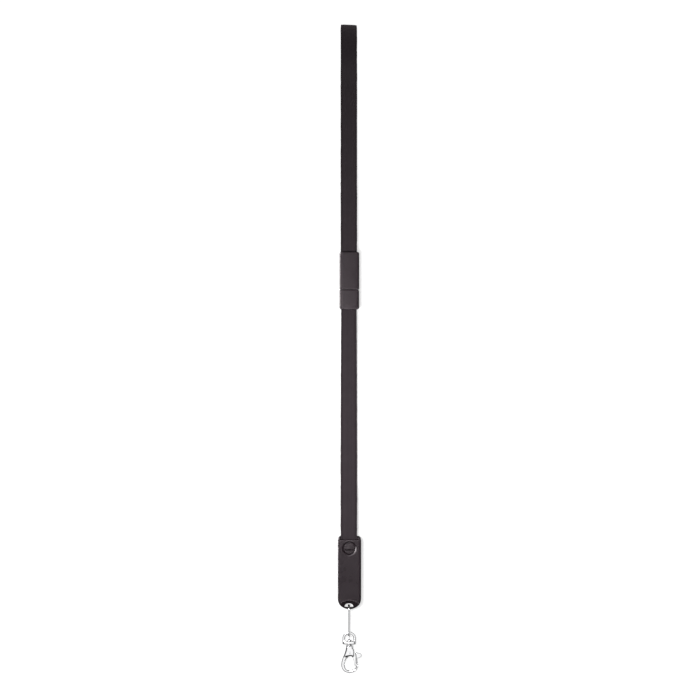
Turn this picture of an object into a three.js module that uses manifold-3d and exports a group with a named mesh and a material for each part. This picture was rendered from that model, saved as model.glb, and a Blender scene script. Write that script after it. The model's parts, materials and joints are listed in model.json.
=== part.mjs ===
// Charging-cable neck lanyard, lying flat with its webbing loop folded double.
// Millimetres. +X to the right, +Y along the strap towards the neck fold,
// +Z up from the surface it lies on. Origin: centre of the bounding box's base.
import * as THREE from 'three';
import { mergeVertices } from 'three/addons/utils/BufferGeometryUtils.js';
import Module from 'manifold-3d';

const wasm = await Module();
wasm.setup();

// ---------------------------------------------------------------- dimensions
// webbing
const STRAP_W = 15.0;          // webbing width
const STRAP_T = 1.3;           // plain webbing thickness
const TUBE_T = 1.8;            // tubular webbing that carries the cable
const X_STRAP = -0.95;         // strap centre line
const FOLD_Y = 295.1;          // neck fold
const Z_BACK = 0.70;           // centre of the layer lying on the surface
// in-line connector
const CON_X = -0.5, CON_W = 18.0;
const CON_Z0 = 1.7, CON_Z1 = 10.1, CON_ZC = 5.9;
const CAP_Y0 = 53.8, CAP_Y1 = 88.0;
const PLUG_Y0 = 35.8, PLUG_Y1 = 53.5;
const USB_W = 12.0, USB_T = 4.5, USB_TIP_Y = 72.3;
const CAP_TRAVEL = 20.0;       // pull needed to bare the plug
// lower housing
const HX = -0.45;              // housing centre
const COVER_W = 21.3, COVER_Z1 = 11.0, COVER_PLATE = 1.7;
const COVER_Y1 = -172.8, COVER_Y0 = -236.75;
const BODY_W = 20.7, BODY_Z0 = 1.9, BODY_Z1 = 9.1, BODY_ZC = 5.5;
const BODY_Y1 = -170.1, BODY_Y0 = -213.5;
const HUB_Y = -180.5, HUB_HOLE_R = 5.3, HUB_BEVEL_R = 6.9, HUB_R = 4.75;
const PLUG_TIP_Y = -220.5;     // tips of the two phone plugs
// link
const LINK_X = -0.9, LINK_WIRE_R = 1.05, LINK_R = 3.9;
const LINK_TOP = [-237.05, 5.5], LINK_LOW = [-257.55, 5.0]; // arc centres (Y, Z)
// hook, in its own frame: u across, v along (0 at the neck's top face), w up
const HOOK_X = -0.5, NECK_Y = -270.1;
const HOOK_TILT = 3.2 * Math.PI / 180;
const TILT_Y = -258.4, TILT_Z = 3.9;   // the bail's bar stays at this height
const LEVER_PIN = [0.6, -5.9];

// ---------------------------------------------------------------- helpers
function solid(geometry) {
  let g = geometry.clone();
  for (const n of Object.keys(g.attributes)) if (n !== 'position') g.deleteAttribute(n);
  g = mergeVertices(g, 1e-4);
  const tri = [];
  for (let i = 0; i < g.index.count; i += 3) {
    const [a, b, c] = [0, 1, 2].map((k) => g.index.getX(i + k));
    if (a !== b && b !== c && c !== a) tri.push(a, b, c);
  }
  return new wasm.Manifold(new wasm.Mesh({
    numProp: 3,
    vertProperties: new Float32Array(g.attributes.position.array),
    triVerts: new Uint32Array(tri),
  }));
}
function box(x0, x1, y0, y1, z0, z1) {
  const g = new THREE.BoxGeometry(x1 - x0, y1 - y0, z1 - z0);
  g.translate((x0 + x1) / 2, (y0 + y1) / 2, (z0 + z1) / 2);
  return solid(g);
}
function roundRect(x0, x1, y0, y1, r0, r1 = r0) {
  // r0 rounds the two low corners, r1 the two high ones
  const s = new THREE.Shape();
  s.moveTo(x0 + r0, y0);
  s.lineTo(x1 - r0, y0);
  s.absarc(x1 - r0, y0 + r0, r0, -Math.PI / 2, 0, false);
  s.lineTo(x1, y1 - r1);
  s.absarc(x1 - r1, y1 - r1, r1, 0, Math.PI / 2, false);
  s.lineTo(x0 + r1, y1);
  s.absarc(x0 + r1, y1 - r1, r1, Math.PI / 2, Math.PI, false);
  s.lineTo(x0, y0 + r0);
  s.absarc(x0 + r0, y0 + r0, r0, Math.PI, 1.5 * Math.PI, false);
  return s;
}
// the same outline as a plain polygon with no repeated points
function polygon(shape, segs) {
  const clean = (pts) => {
    const out = [];
    for (const p of pts) if (!out.length || out[out.length - 1].distanceTo(p) > 1e-3) out.push(p);
    while (out.length > 1 && out[0].distanceTo(out[out.length - 1]) < 1e-3) out.pop();
    return out;
  };
  const { shape: outer, holes } = shape.extractPoints(segs);
  const s = new THREE.Shape(clean(outer));
  for (const h of holes) s.holes.push(new THREE.Path(clean(h)));
  return s;
}
function slab(shape, z0, z1, bevel = 0, segs = 6, bsegs = 2) {
  const g = new THREE.ExtrudeGeometry(polygon(shape, segs), {
    depth: z1 - z0 - 2 * bevel, steps: 1,
    bevelEnabled: bevel > 0, bevelThickness: bevel, bevelSize: bevel,
    bevelOffset: -bevel, bevelSegments: bsegs,
  });
  g.translate(0, 0, z0 + bevel);
  return solid(g);
}
function cylZ(x, y, r, z0, z1, n = 24) {
  const g = new THREE.CylinderGeometry(r, r, z1 - z0, n);
  g.rotateX(Math.PI / 2);
  g.translate(x, y, (z0 + z1) / 2);
  return solid(g);
}
function coneZ(x, y, rLow, rHigh, z0, z1, n = 24) {
  const g = new THREE.CylinderGeometry(rHigh, rLow, z1 - z0, n);
  g.rotateX(Math.PI / 2);
  g.translate(x, y, (z0 + z1) / 2);
  return solid(g);
}
function cylY(x, z, r, y0, y1, n = 16) {
  const g = new THREE.CylinderGeometry(r, r, y1 - y0, n);
  g.translate(x, (y0 + y1) / 2, z);
  return solid(g);
}
// a prism whose outline lies in the Y-Z plane, running along X
function prismX(points, x0, x1) {
  const s = new THREE.Shape(points.map(([y, z]) => new THREE.Vector2(y, z)));
  const g = new THREE.ExtrudeGeometry(s, { depth: x1 - x0, steps: 1, bevelEnabled: false });
  g.applyMatrix4(new THREE.Matrix4().set(0, 0, 1, x0, 1, 0, 0, 0, 0, 1, 0, 0, 0, 0, 0, 1));
  return solid(g);
}
// a prism whose outline lies in the X-Z plane, running along Y
function prismY(shape, y0, y1, segs = 5) {
  const g = new THREE.ExtrudeGeometry(polygon(shape, segs), { depth: y1 - y0, steps: 1, bevelEnabled: false });
  g.applyMatrix4(new THREE.Matrix4().set(1, 0, 0, 0, 0, 0, -1, y1, 0, 1, 0, 0, 0, 0, 0, 1));
  return solid(g);
}
const colours = {
  webbing: [0x2b2728, 0.92, 0], tube: [0x2d292a, 0.92, 0], cable: [0x1c1c1e, 0.6, 0],
  plastic: [0x2f2c2d, 0.55, 0], cover: [0x2b2829, 0.5, 0], insert: [0x141414, 0.6, 0],
  steel: [0xb9bcc0, 0.32, 1], chrome: [0xd9dbde, 0.14, 1], gold: [0xd8b45a, 0.3, 1],
  board: [0x1f5a37, 0.6, 0], spring: [0xa8abb0, 0.35, 1],
};
function piece(name, shape, slot, parent) {
  let g;
  if (shape.isBufferGeometry) {
    g = shape;
  } else {
    const m = shape.asOriginal().simplify(0.002).getMesh();
    g = new THREE.BufferGeometry();
    g.setAttribute('position', new THREE.BufferAttribute(new Float32Array(m.vertProperties), 3));
    g.setIndex(new THREE.BufferAttribute(new Uint32Array(m.triVerts), 1));
  }
  g.computeVertexNormals();
  const [color, roughness, metalness] = colours[slot];
  const mesh = new THREE.Mesh(g, new THREE.MeshStandardMaterial({ color, roughness, metalness }));
  mesh.name = name;
  parent.add(mesh);
  return mesh;
}

const lanyard = new THREE.Group();

// ---------------------------------------------------------------- straps
// smooth centre lines in the Y-Z plane, sampled finely only where they bend
function sample(keys, count) {
  const curve = new THREE.CatmullRomCurve3(keys.map(([y, z]) => new THREE.Vector3(0, y, z)), false, 'centripetal');
  const out = [];
  for (let i = 0; i <= count; i++) {
    const p = curve.getPoint(i / count);
    out.push([p.y, p.z]);
  }
  return out;
}
function ribbon(path, t) {
  const a = [], b = [];
  for (let i = 0; i < path.length; i++) {
    const p = path[Math.max(i - 1, 0)], q = path[Math.min(i + 1, path.length - 1)];
    const dy = q[0] - p[0], dz = q[1] - p[1], l = Math.hypot(dy, dz);
    a.push([path[i][0] - dz / l * t / 2, path[i][1] + dy / l * t / 2]);
    b.push([path[i][0] + dz / l * t / 2, path[i][1] - dy / l * t / 2]);
  }
  return a.concat(b.reverse());
}
function ease(y0, z0, y1, z1, n) {
  const out = [];
  for (let i = 0; i <= n; i++) {
    const s = i / n;
    out.push([y0 + (y1 - y0) * s, z0 + (z1 - z0) * (0.5 - 0.5 * Math.cos(Math.PI * s))]);
  }
  return out;
}
const LONG_END_CAP = 84.0, LONG_END_HOUSING = -176.0;
const longPath = [
  [LONG_END_CAP, CON_ZC],
  ...ease(113, CON_ZC, 200, 4.3, 8),
  ...ease(222, 4.2, 262, 2.55, 6),
  ...sample([[266, 2.75], [271, 4.1], [277, 6.5], [283, 7.95], [288.5, 7.85], [292.8, 6.3], [FOLD_Y - 0.65, 4.1],
    [293.2, 2.0], [290, 0.95], [285, Z_BACK]], 26),
  [270, Z_BACK], [180, Z_BACK], [90, Z_BACK], [0, Z_BACK], [-60, Z_BACK],
  ...ease(-108, Z_BACK, -160, 4.45, 9),
  [LONG_END_HOUSING, 4.45],
];
piece('strap_long', prismX(ribbon(longPath, STRAP_T), X_STRAP - STRAP_W / 2, X_STRAP + STRAP_W / 2), 'webbing', lanyard);

const shortPath = [
  [42.5, CON_ZC], [31, CON_ZC],
  ...ease(29, CON_ZC, -24, 2.5, 9),
  [-60, 2.5],
  ...ease(-104, 2.5, -160, 6.25, 9),
  [-176.5, 6.25],
];
const cablePath = [[47.2, CON_ZC], ...shortPath.slice(1, -1), [-176.5, 6.25], [-182.5, 6.15], [-186.6, 6.15]];
const tunnelPath = [[60, CON_ZC], ...shortPath.slice(1, -1), [-190, 6.25]];
const tunnel = prismX(ribbon(tunnelPath, 1.0), X_STRAP - 4.8, X_STRAP + 4.8);
piece('strap_short', prismX(ribbon(shortPath, TUBE_T), X_STRAP - STRAP_W / 2, X_STRAP + STRAP_W / 2).subtract(tunnel), 'tube', lanyard);
piece('charging_cable', prismX(ribbon(cablePath, 0.7), X_STRAP - 4.5, X_STRAP + 4.5), 'cable', lanyard);

// ---------------------------------------------------------------- in-line connector
// two shells per half, split at mid thickness, with rounded long edges
function shellPair(nameFront, nameBack, solidWhole, zSplit, slot) {
  const front = solidWhole.intersect(box(-200, 200, -400, 400, zSplit + 0.03, 60));
  const back = solidWhole.intersect(box(-200, 200, -400, 400, -60, zSplit - 0.03));
  piece(nameFront, front, slot, lanyard);
  piece(nameBack, back, slot, lanyard);
}
const cx0 = CON_X - CON_W / 2, cx1 = CON_X + CON_W / 2;
let cap = slab(roundRect(cx0, cx1, CAP_Y0, CAP_Y1, 1.35, 1.9), CON_Z0, CON_Z1, 1.2, 3, 2);
cap = cap.subtract(box(CON_X - 6.6, CON_X + 6.6, CAP_Y0 - 1, 76.0, CON_ZC - 2.75, CON_ZC + 2.75))      // plug cavity
  .subtract(box(X_STRAP - 7.8, X_STRAP + 7.8, CAP_Y0 - 1, CAP_Y1 + 1, CON_ZC - 0.95, CON_ZC + 0.95))   // strap guide
  .subtract(box(X_STRAP - 8.1, X_STRAP + 8.1, 79.0, 85.6, CON_ZC - 1.7, CON_ZC + 1.7));                // crimp pocket
shellPair('cap_front_shell', 'cap_back_shell', cap, CON_ZC, 'plastic');
const capCrimp = box(X_STRAP - 7.95, X_STRAP + 7.95, 79.3, 85.3, CON_ZC - 1.5, CON_ZC + 1.5)
  .subtract(box(X_STRAP - 7.65, X_STRAP + 7.65, 78, 87, CON_ZC - 0.9, CON_ZC + 0.9));
piece('cap_crimp', capCrimp, 'steel', lanyard);

let plug = slab(roundRect(cx0 - 0.05, cx1 - 0.1, PLUG_Y0, PLUG_Y1, 1.9, 1.35), CON_Z0, CON_Z1, 1.2, 3, 2);
plug = plug.subtract(box(X_STRAP - 7.8, X_STRAP + 7.8, PLUG_Y0 - 1, 39, CON_ZC - 1.15, CON_ZC + 1.15))  // strap slot
  .subtract(box(X_STRAP - 8.15, X_STRAP + 8.15, 37.6, 44.0, CON_ZC - 1.9, CON_ZC + 1.9))              // crimp pocket
  .subtract(box(CON_X - 6.3, CON_X + 6.3, 43.0, 52.3, CON_ZC - 2.6, CON_ZC + 2.6))                    // plug pocket
  .subtract(box(CON_X - 6.1, CON_X + 6.1, 51.0, PLUG_Y1 + 1, CON_ZC - 2.35, CON_ZC + 2.35));          // plug mouth
shellPair('plug_front_shell', 'plug_back_shell', plug, CON_ZC, 'plastic');
const plugCrimp = box(X_STRAP - 8.0, X_STRAP + 8.0, 37.8, 43.4, CON_ZC - 1.7, CON_ZC + 1.7)
  .subtract(box(X_STRAP - 7.65, X_STRAP + 7.65, 37, 45, CON_ZC - 1.05, CON_ZC + 1.05));
piece('plug_crimp', plugCrimp, 'steel', lanyard);

// USB-A plug: folded steel shell with two latch windows, insulator and four contacts
const ux = CON_X;
let usb = prismY(roundRect(ux - USB_W / 2, ux + USB_W / 2, CON_ZC - USB_T / 2, CON_ZC + USB_T / 2, 0.5), 45.2, USB_TIP_Y, 2)
  .subtract(prismY(roundRect(ux - USB_W / 2 + 0.32, ux + USB_W / 2 - 0.32, CON_ZC - USB_T / 2 + 0.32, CON_ZC + USB_T / 2 - 0.32, 0.25), 40, 80, 2));
for (const sx of [-1, 1]) usb = usb.subtract(box(ux + sx * 2.85 - 1.1, ux + sx * 2.85 + 1.1, 60.3, 62.8, CON_ZC, CON_ZC + 5));
piece('usb_shell', usb, 'steel', lanyard);
const tongueTop = CON_ZC + 0.15;
let tongue = box(ux - 5.55, ux + 5.55, 47.6, USB_TIP_Y - 0.3, CON_ZC - 1.8, tongueTop);
const pinX = [-3.5, -1.0, 1.0, 3.5];
for (const p of pinX) tongue = tongue.subtract(box(ux + p - 0.62, ux + p + 0.62, 47, USB_TIP_Y - 1.3, tongueTop - 0.22, tongueTop + 1));
piece('usb_tongue', tongue, 'insert', lanyard);
pinX.forEach((p, i) => {
  const y1 = (i === 0 || i === 3) ? USB_TIP_Y - 1.5 : USB_TIP_Y - 2.5;
  piece(`usb_contact_${i + 1}`, box(ux + p - 0.5, ux + p + 0.5, 48.4, y1, tongueTop - 0.18, tongueTop + 0.12), 'gold', lanyard);
});

// ---------------------------------------------------------------- lower housing
const bx0 = HX - BODY_W / 2, bx1 = HX + BODY_W / 2;
const PC_X = HX - 4.7, MU_X = HX + 4.75;     // phone plug centres
let body = slab(roundRect(bx0, bx1, BODY_Y0, BODY_Y1, 1.6, 2.6), BODY_Z0, BODY_Z1, 0.8, 4, 1);
body = body
  .subtract(box(HX - 9.0, HX + 9.0, -211.9, -171.6, BODY_Z0 + 1.2, BODY_Z1 - 1.2))                     // inside
  .subtract(box(X_STRAP - 7.85, X_STRAP + 7.85, -172.9, -169, 3.6, 12))                                // strap slot, open to the front
  .subtract(prismY(roundRect(PC_X - 4.25, PC_X + 4.25, BODY_ZC - 1.3, BODY_ZC + 1.3, 1.25), -215, -211, 3))
  .subtract(prismY(roundRect(MU_X - 3.6, MU_X + 3.6, BODY_ZC - 1.05, BODY_ZC + 1.05, 0.5), -215, -211, 3))
  .subtract(cylZ(HX, HUB_Y, 2.65, -1, 12, 20));                                                        // spigot holes
shellPair('body_front_shell', 'body_back_shell', body, BODY_ZC, 'plastic');

const crimp = box(X_STRAP - 8.2, X_STRAP + 8.2, -177.5, -173.3, 3.3, 7.7)
  .subtract(box(X_STRAP - 7.65, X_STRAP + 7.65, -179, -170, 3.68, 7.28));
piece('strap_crimp', crimp, 'steel', lanyard);

// snap-in pivot buttons, front and back: slotted face, spigot into the shell
function button(sign) {
  const zf = sign > 0 ? z => BODY_ZC + z : z => BODY_ZC - z;
  const span = (a, b) => [Math.min(zf(a), zf(b)), Math.max(zf(a), zf(b))];
  let [a, b] = span(3.68, 5.1);
  let s = cylZ(HX, HUB_Y, HUB_R, a, b, 28);
  [a, b] = span(2.45, 4.0);
  s = s.add(cylZ(HX, HUB_Y, 2.55, a, b, 20));
  [a, b] = span(4.55, 6.0);
  s = s.subtract(box(HX - 6, HX + 6, HUB_Y - 1.95, HUB_Y - 1.25, a, b));
  return s;
}
piece('pivot_button_front', button(1), 'plastic', lanyard);
piece('pivot_button_back', button(-1), 'plastic', lanyard);

// swivel cover: two plates joined by a dished end with the link's hole and bar
const kx0 = HX - COVER_W / 2, kx1 = HX + COVER_W / 2, ER = COVER_W / 2;
const coverOutline = new THREE.Shape();
coverOutline.moveTo(kx0, COVER_Y0 + ER);
coverOutline.absarc(HX, COVER_Y0 + ER, ER, Math.PI, 2 * Math.PI, false);
coverOutline.lineTo(kx1, COVER_Y1 - 1.6);
coverOutline.absarc(kx1 - 1.6, COVER_Y1 - 1.6, 1.6, 0, Math.PI / 2, false);
coverOutline.lineTo(kx0 + 1.6, COVER_Y1);
coverOutline.absarc(kx0 + 1.6, COVER_Y1 - 1.6, 1.6, Math.PI / 2, Math.PI, false);
let cover = slab(coverOutline, 0, COVER_Z1, 1.3, 12, 2);
cover = cover.subtract(box(-40, 40, -222.2, -150, COVER_PLATE, COVER_Z1 - COVER_PLATE))
  .subtract(cylZ(HX, HUB_Y, HUB_HOLE_R, -1, 12, 28))
  .subtract(coneZ(HX, HUB_Y, HUB_HOLE_R, HUB_BEVEL_R + 0.16, COVER_Z1 - 1.5, COVER_Z1 + 0.1, 28))
  .subtract(coneZ(HX, HUB_Y, HUB_BEVEL_R + 0.16, HUB_HOLE_R, -0.1, 1.5, 28));
const dishGeo = new THREE.SphereGeometry(19.75, 48, 32);
dishGeo.rotateX(Math.PI / 2);
for (const z of [26.4, COVER_Z1 - 26.4]) {
  const d = dishGeo.clone();
  d.translate(HX, -239.3, z);
  cover = cover.subtract(solid(d));
}
// the hole leaves an oval bar across the rounded end
const hole = new THREE.Shape();
hole.moveTo(-4.85, -234.48);
hole.lineTo(3.0, -234.48);
hole.quadraticCurveTo(3.5, -234.1, 2.6, -232.7);
hole.quadraticCurveTo(1.2, -231.0, -0.9, -231.0);
hole.quadraticCurveTo(-3.1, -231.0, -4.45, -232.7);
hole.quadraticCurveTo(-5.4, -234.1, -4.85, -234.48);
cover = cover.subtract(slab(hole, -1, 12, 0, 5));
// trim the bar's front and back so that the link's arc clears it
const trim = [];
for (let i = 0; i <= 10; i++) {
  const a = Math.PI * i / 10;
  trim.push([-235.62 + 1.13 * Math.cos(a), 1.4 * Math.sin(a)]);
}
function barTrim(sign) {
  let pts = [[-238.5, 0.0], ...[...trim].reverse().map(([y, z]) => [y, sign * z]), [-234.3, 0.0], [-234.3, sign * 6], [-238.5, sign * 6]];
  pts = pts.map(([y, z]) => [y, z + BODY_ZC]);
  if (sign > 0) pts.reverse();
  return prismX(pts, LINK_X - 3.0, LINK_X + 3.0);
}
cover = cover.subtract(barTrim(1)).subtract(barTrim(-1));
piece('swivel_cover', cover, 'cover', lanyard);

// circuit board and the two phone plugs
piece('circuit_board', box(HX - 8.2, HX + 8.2, -204.6, -187.2, 4.6, 5.4), 'board', lanyard);
function phonePlug(name, x, w, t, r, wall) {
  const shell = prismY(roundRect(x - w / 2, x + w / 2, BODY_ZC - t / 2, BODY_ZC + t / 2, r), PLUG_TIP_Y, -205.2, 4)
    .subtract(prismY(roundRect(x - w / 2 + wall, x + w / 2 - wall, BODY_ZC - t / 2 + wall, BODY_ZC + t / 2 - wall, Math.max(r - wall, 0.12)), PLUG_TIP_Y - 1, -200, 4));
  piece(`${name}_shell`, shell, 'steel', lanyard);
  const insert = box(x - w / 2 + 1.1, x + w / 2 - 1.1, PLUG_TIP_Y + 0.9, -205.4, BODY_ZC - t / 2 + wall + 0.12, BODY_ZC + 0.05);
  piece(`${name}_insert`, insert, 'insert', lanyard);
}
phonePlug('type_c', PC_X, 8.25, 2.4, 1.15, 0.3);
phonePlug('micro_b', MU_X, 6.85, 1.85, 0.4, 0.28);

// ---------------------------------------------------------------- oval link
function linkGeometry() {
  const A = new THREE.Vector3(LINK_X, ...LINK_TOP), B = new THREE.Vector3(LINK_X, ...LINK_LOW);
  const d = B.clone().sub(A).normalize();                  // down the link
  const n = new THREE.Vector3(0, -d.z, d.y).normalize();   // across it, in the Y-Z plane
  const path = new THREE.CurvePath();
  class Arc extends THREE.Curve {
    constructor(c, from) { super(); this.c = c; this.from = from; }
    getPoint(t, target = new THREE.Vector3()) {
      const a = this.from + Math.PI * t;
      return target.copy(this.c).addScaledVector(n, LINK_R * Math.cos(a)).addScaledVector(d, LINK_R * Math.sin(a));
    }
  }
  const lowStart = B.clone().addScaledVector(n, LINK_R), lowEnd = B.clone().addScaledVector(n, -LINK_R);
  const topStart = A.clone().addScaledVector(n, -LINK_R), topEnd = A.clone().addScaledVector(n, LINK_R);
  path.add(new Arc(B, 0));
  path.add(new THREE.LineCurve3(lowEnd, topStart));
  path.add(new Arc(A, Math.PI));
  path.add(new THREE.LineCurve3(topEnd, lowStart));
  return new THREE.TubeGeometry(path, 72, LINK_WIRE_R, 10, true);
}
piece('oval_link', solid(linkGeometry()), 'chrome', lanyard);

// ---------------------------------------------------------------- swivel hook
// Built in its own frame: u across (0 on the swivel axis), v along (0 at the
// neck's top face), w up from the hook's mid plane.
const hook = new THREE.Group();
hook.matrixAutoUpdate = true;
const pivot = new THREE.Group();
pivot.position.set(HOOK_X, TILT_Y, TILT_Z);
pivot.rotation.x = HOOK_TILT;
hook.position.set(0, NECK_Y - TILT_Y, 0);
pivot.add(hook);
lanyard.add(pivot);

// bail: D-shaped flat loop with a bored bar
const bailOut = new THREE.Shape();
const BW = 6.25, BC = -0.2;                       // half width, centre offset
const ARCH_V = 13.0 - BW;                         // centre of the arch
bailOut.moveTo(BC - BW + 0.9, 0.95);
bailOut.lineTo(BC + BW - 0.9, 0.95);
bailOut.quadraticCurveTo(BC + BW, 0.95, BC + BW, 2.0);
bailOut.lineTo(BC + BW, ARCH_V);
bailOut.absarc(BC, ARCH_V, BW, 0, Math.PI, false);
bailOut.lineTo(BC - BW, 2.0);
bailOut.quadraticCurveTo(BC - BW, 0.95, BC - BW + 0.9, 0.95);
const bailIn = new THREE.Path();
const IW = 3.75;
bailIn.moveTo(BC - IW, 4.4);
bailIn.lineTo(BC - IW, ARCH_V + 0.1);
bailIn.absarc(BC, ARCH_V - 0.1, IW, Math.PI, 0, true);
bailIn.lineTo(BC + IW, 4.4);
bailIn.lineTo(BC - IW, 4.4);
bailOut.holes.push(bailIn);
const bail = slab(bailOut, -0.9, 0.9, 0.35, 10, 1)
  .add(slab(roundRect(BC - 4.6, BC + 4.6, 0.95, 4.4, 0.8), -1.6, 1.6, 0.5, 2, 1))
  .subtract(cylY(0, 0, 1.2, -1, 6, 16));
piece('hook_bail', bail, 'chrome', hook);

// swivel rivet: domed head inside the bail, shank into the neck
const rivetProfile = [[0, 6.35], [0.8, 6.2], [1.5, 5.75], [1.95, 5.05], [2.0, 4.6], [1.05, 4.55], [1.05, -2.6], [0, -2.6]]
  .map(([r, v]) => new THREE.Vector2(r, v)).reverse();
piece('swivel_rivet', solid(new THREE.LatheGeometry(rivetProfile, 16)), 'chrome', hook);
const washerProfile = [[1.2, 0.15], [2.5, 0.15], [2.5, 0.75], [1.2, 0.75], [1.2, 0.15]].map(([r, v]) => new THREE.Vector2(r, v));
piece('swivel_washer', solid(new THREE.LatheGeometry(washerProfile, 20)), 'chrome', hook);

// claw body: neck, forked head and hooked arm
function outline(points, smooth) {
  if (!smooth) return new THREE.Shape(points.map(([u, v]) => new THREE.Vector2(u, v)));
  const s = new THREE.Shape();
  s.moveTo(...points[0]);
  s.splineThru(points.slice(1).map(([u, v]) => new THREE.Vector2(u, v)));
  return s;
}
const armOuter = [[-3.4, -0.0], [-3.77, -3.65], [-4.68, -6.83], [-5.86, -10.0], [-6.77, -12.74], [-7.45, -15.92], [-7.54, -18.64], [-6.86, -21.19],
  [-5.22, -23.46], [-2.86, -24.73], [0.14, -25.19], [3.14, -24.73], [5.69, -23.37], [7.41, -21.1], [8.14, -18.46], [8.05, -16.95]];
const armInner = [[6.35, -18.0], [5.69, -19.75], [4.3, -21.37], [1.5, -22.28], [-1.5, -22.28], [-3.13, -20.92], [-4.04, -18.37], [-3.86, -15.46],
  [-2.77, -12.55], [-1.22, -10.46], [0.6, -9.64], [2.2, -9.9], [3.4, -10.6]];
const headRight = [[4.5, -9.3], [4.5, -5.46], [3.87, -2.74], [3.6, 0.0]];
let claw = slab(outline([...armOuter, ...armInner, ...headRight]), -1.6, 1.6, 0.6, 2, 2);
const head = slab(outline([[-3.4, 0], [-3.75, -3.65], [-4.4, -6.4], [-5.0, -8.6], [-1.9, -9.6], [0.6, -9.4], [2.6, -9.7], [4.5, -8.9], [4.5, -5.46], [3.87, -2.74], [3.6, 0]]), -2.3, 2.3, 0.6, 2, 2);
claw = claw.add(head);
claw = claw.subtract(cylY(0, 0, 1.12, -2.8, 1, 16))                                        // rivet bore
  .subtract(slab(outline([[-1.9, -3.6], [-1.9, -11.6], [9, -11.6], [9, -3.0], [1.2, -3.0]]), -1.15, 1.15)) // lever slot
  .subtract(cylZ(...LEVER_PIN, 0.78, -4, 4, 12));
piece('hook_body', claw, 'chrome', hook);
piece('trigger_pin', cylZ(...LEVER_PIN, 0.7, -2.3, 2.3, 12), 'steel', hook);

// trigger: thumb tab, hub on the pin and the gate arm closing the claw
const lever = outline([[-0.9, -4.2], [0.6, -3.6], [2.4, -4.4], [4.05, -5.9], [6.05, -6.01], [8.78, -6.46], [10.87, -7.28], [11.45, -8.74], [11.0, -10.28],
  [9.5, -11.45], [7.6, -12.1], [7.78, -14.1], [7.96, -16.3], [6.35, -17.05], [5.95, -17.4], [5.5, -19.2], [4.75, -19.2], [4.15, -16.37], [3.7, -13.64],
  [2.75, -11.2], [1.2, -8.7], [-0.9, -7.6], [-1.5, -5.9]]);
const tab = outline([[5.3, -6.3], [8.6, -6.7], [10.6, -7.45], [11.2, -8.74], [10.8, -10.1], [9.4, -11.2], [7.4, -11.85], [7.6, -14.1], [7.7, -16.0], [6.0, -16.7], [5.3, -14.0], [5.2, -11.0]]);
const trigger = slab(lever, -0.95, 0.35, 0.15, 2, 1).add(slab(tab, -1.55, 1.35, 0.35, 2, 1))
  .subtract(cylZ(...LEVER_PIN, 0.78, -4, 4, 12));
piece('trigger_lever', trigger, 'chrome', hook);

// torsion spring round the pin
class Coil extends THREE.Curve {
  getPoint(t, target = new THREE.Vector3()) {
    const a = -0.6 + t * Math.PI * 3.0, z = 0.6 + 0.32 * t;
    return target.set(LEVER_PIN[0] + 1.15 * Math.cos(a), LEVER_PIN[1] + 1.15 * Math.sin(a), z);
  }
}
const wire = new THREE.Shape();
wire.absarc(0, 0, 0.13, 0, 2 * Math.PI, false);
piece('trigger_spring', solid(new THREE.ExtrudeGeometry(wire, { steps: 24, curveSegments: 3, bevelEnabled: false, extrudePath: new Coil() })), 'spring', hook);

export default lanyard;
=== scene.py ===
"""Charging-cable neck lanyard, laid flat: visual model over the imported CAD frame.

Lengths in the helpers are millimetres in the row frame (+X right, +Y towards the
neck fold, +Z up from the floor); meshes are written in metres.
"""

import json
import math

import bpy
import numpy as np
from mathutils.geometry import delaunay_2d_cdt
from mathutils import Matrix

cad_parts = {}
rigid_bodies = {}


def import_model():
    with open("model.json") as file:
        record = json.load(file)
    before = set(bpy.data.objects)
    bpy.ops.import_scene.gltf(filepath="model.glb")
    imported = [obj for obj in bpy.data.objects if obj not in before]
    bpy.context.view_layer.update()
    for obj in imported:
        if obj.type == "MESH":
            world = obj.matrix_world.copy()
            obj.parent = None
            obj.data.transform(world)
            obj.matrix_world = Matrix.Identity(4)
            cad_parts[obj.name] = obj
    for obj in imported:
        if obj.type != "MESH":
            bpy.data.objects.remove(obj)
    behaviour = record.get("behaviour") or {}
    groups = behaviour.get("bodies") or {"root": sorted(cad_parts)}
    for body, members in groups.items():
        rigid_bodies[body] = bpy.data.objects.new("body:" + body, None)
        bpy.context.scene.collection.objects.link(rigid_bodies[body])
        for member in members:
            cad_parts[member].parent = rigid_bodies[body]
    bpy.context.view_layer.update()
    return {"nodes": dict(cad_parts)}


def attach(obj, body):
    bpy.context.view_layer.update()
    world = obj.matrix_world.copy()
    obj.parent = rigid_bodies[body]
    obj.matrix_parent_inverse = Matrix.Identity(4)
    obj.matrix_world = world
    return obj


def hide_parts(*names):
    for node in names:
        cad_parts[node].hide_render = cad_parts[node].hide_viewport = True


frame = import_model()
scene = bpy.context.scene
MM = 0.001

# ------------------------------------------------------------------ camera
cam_data = bpy.data.cameras.new("camera")
cam_data.lens = 85.0
cam_data.sensor_width = 36.0
cam_data.clip_start = 0.02
cam_data.clip_end = 20.0
camera = bpy.data.objects.new("camera", cam_data)
camera.location = (0.0001, -0.00105, 1.508)
scene.collection.objects.link(camera)
scene.camera = camera
scene.view_settings.view_transform = "Standard"
scene.view_settings.look = "None"

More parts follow.
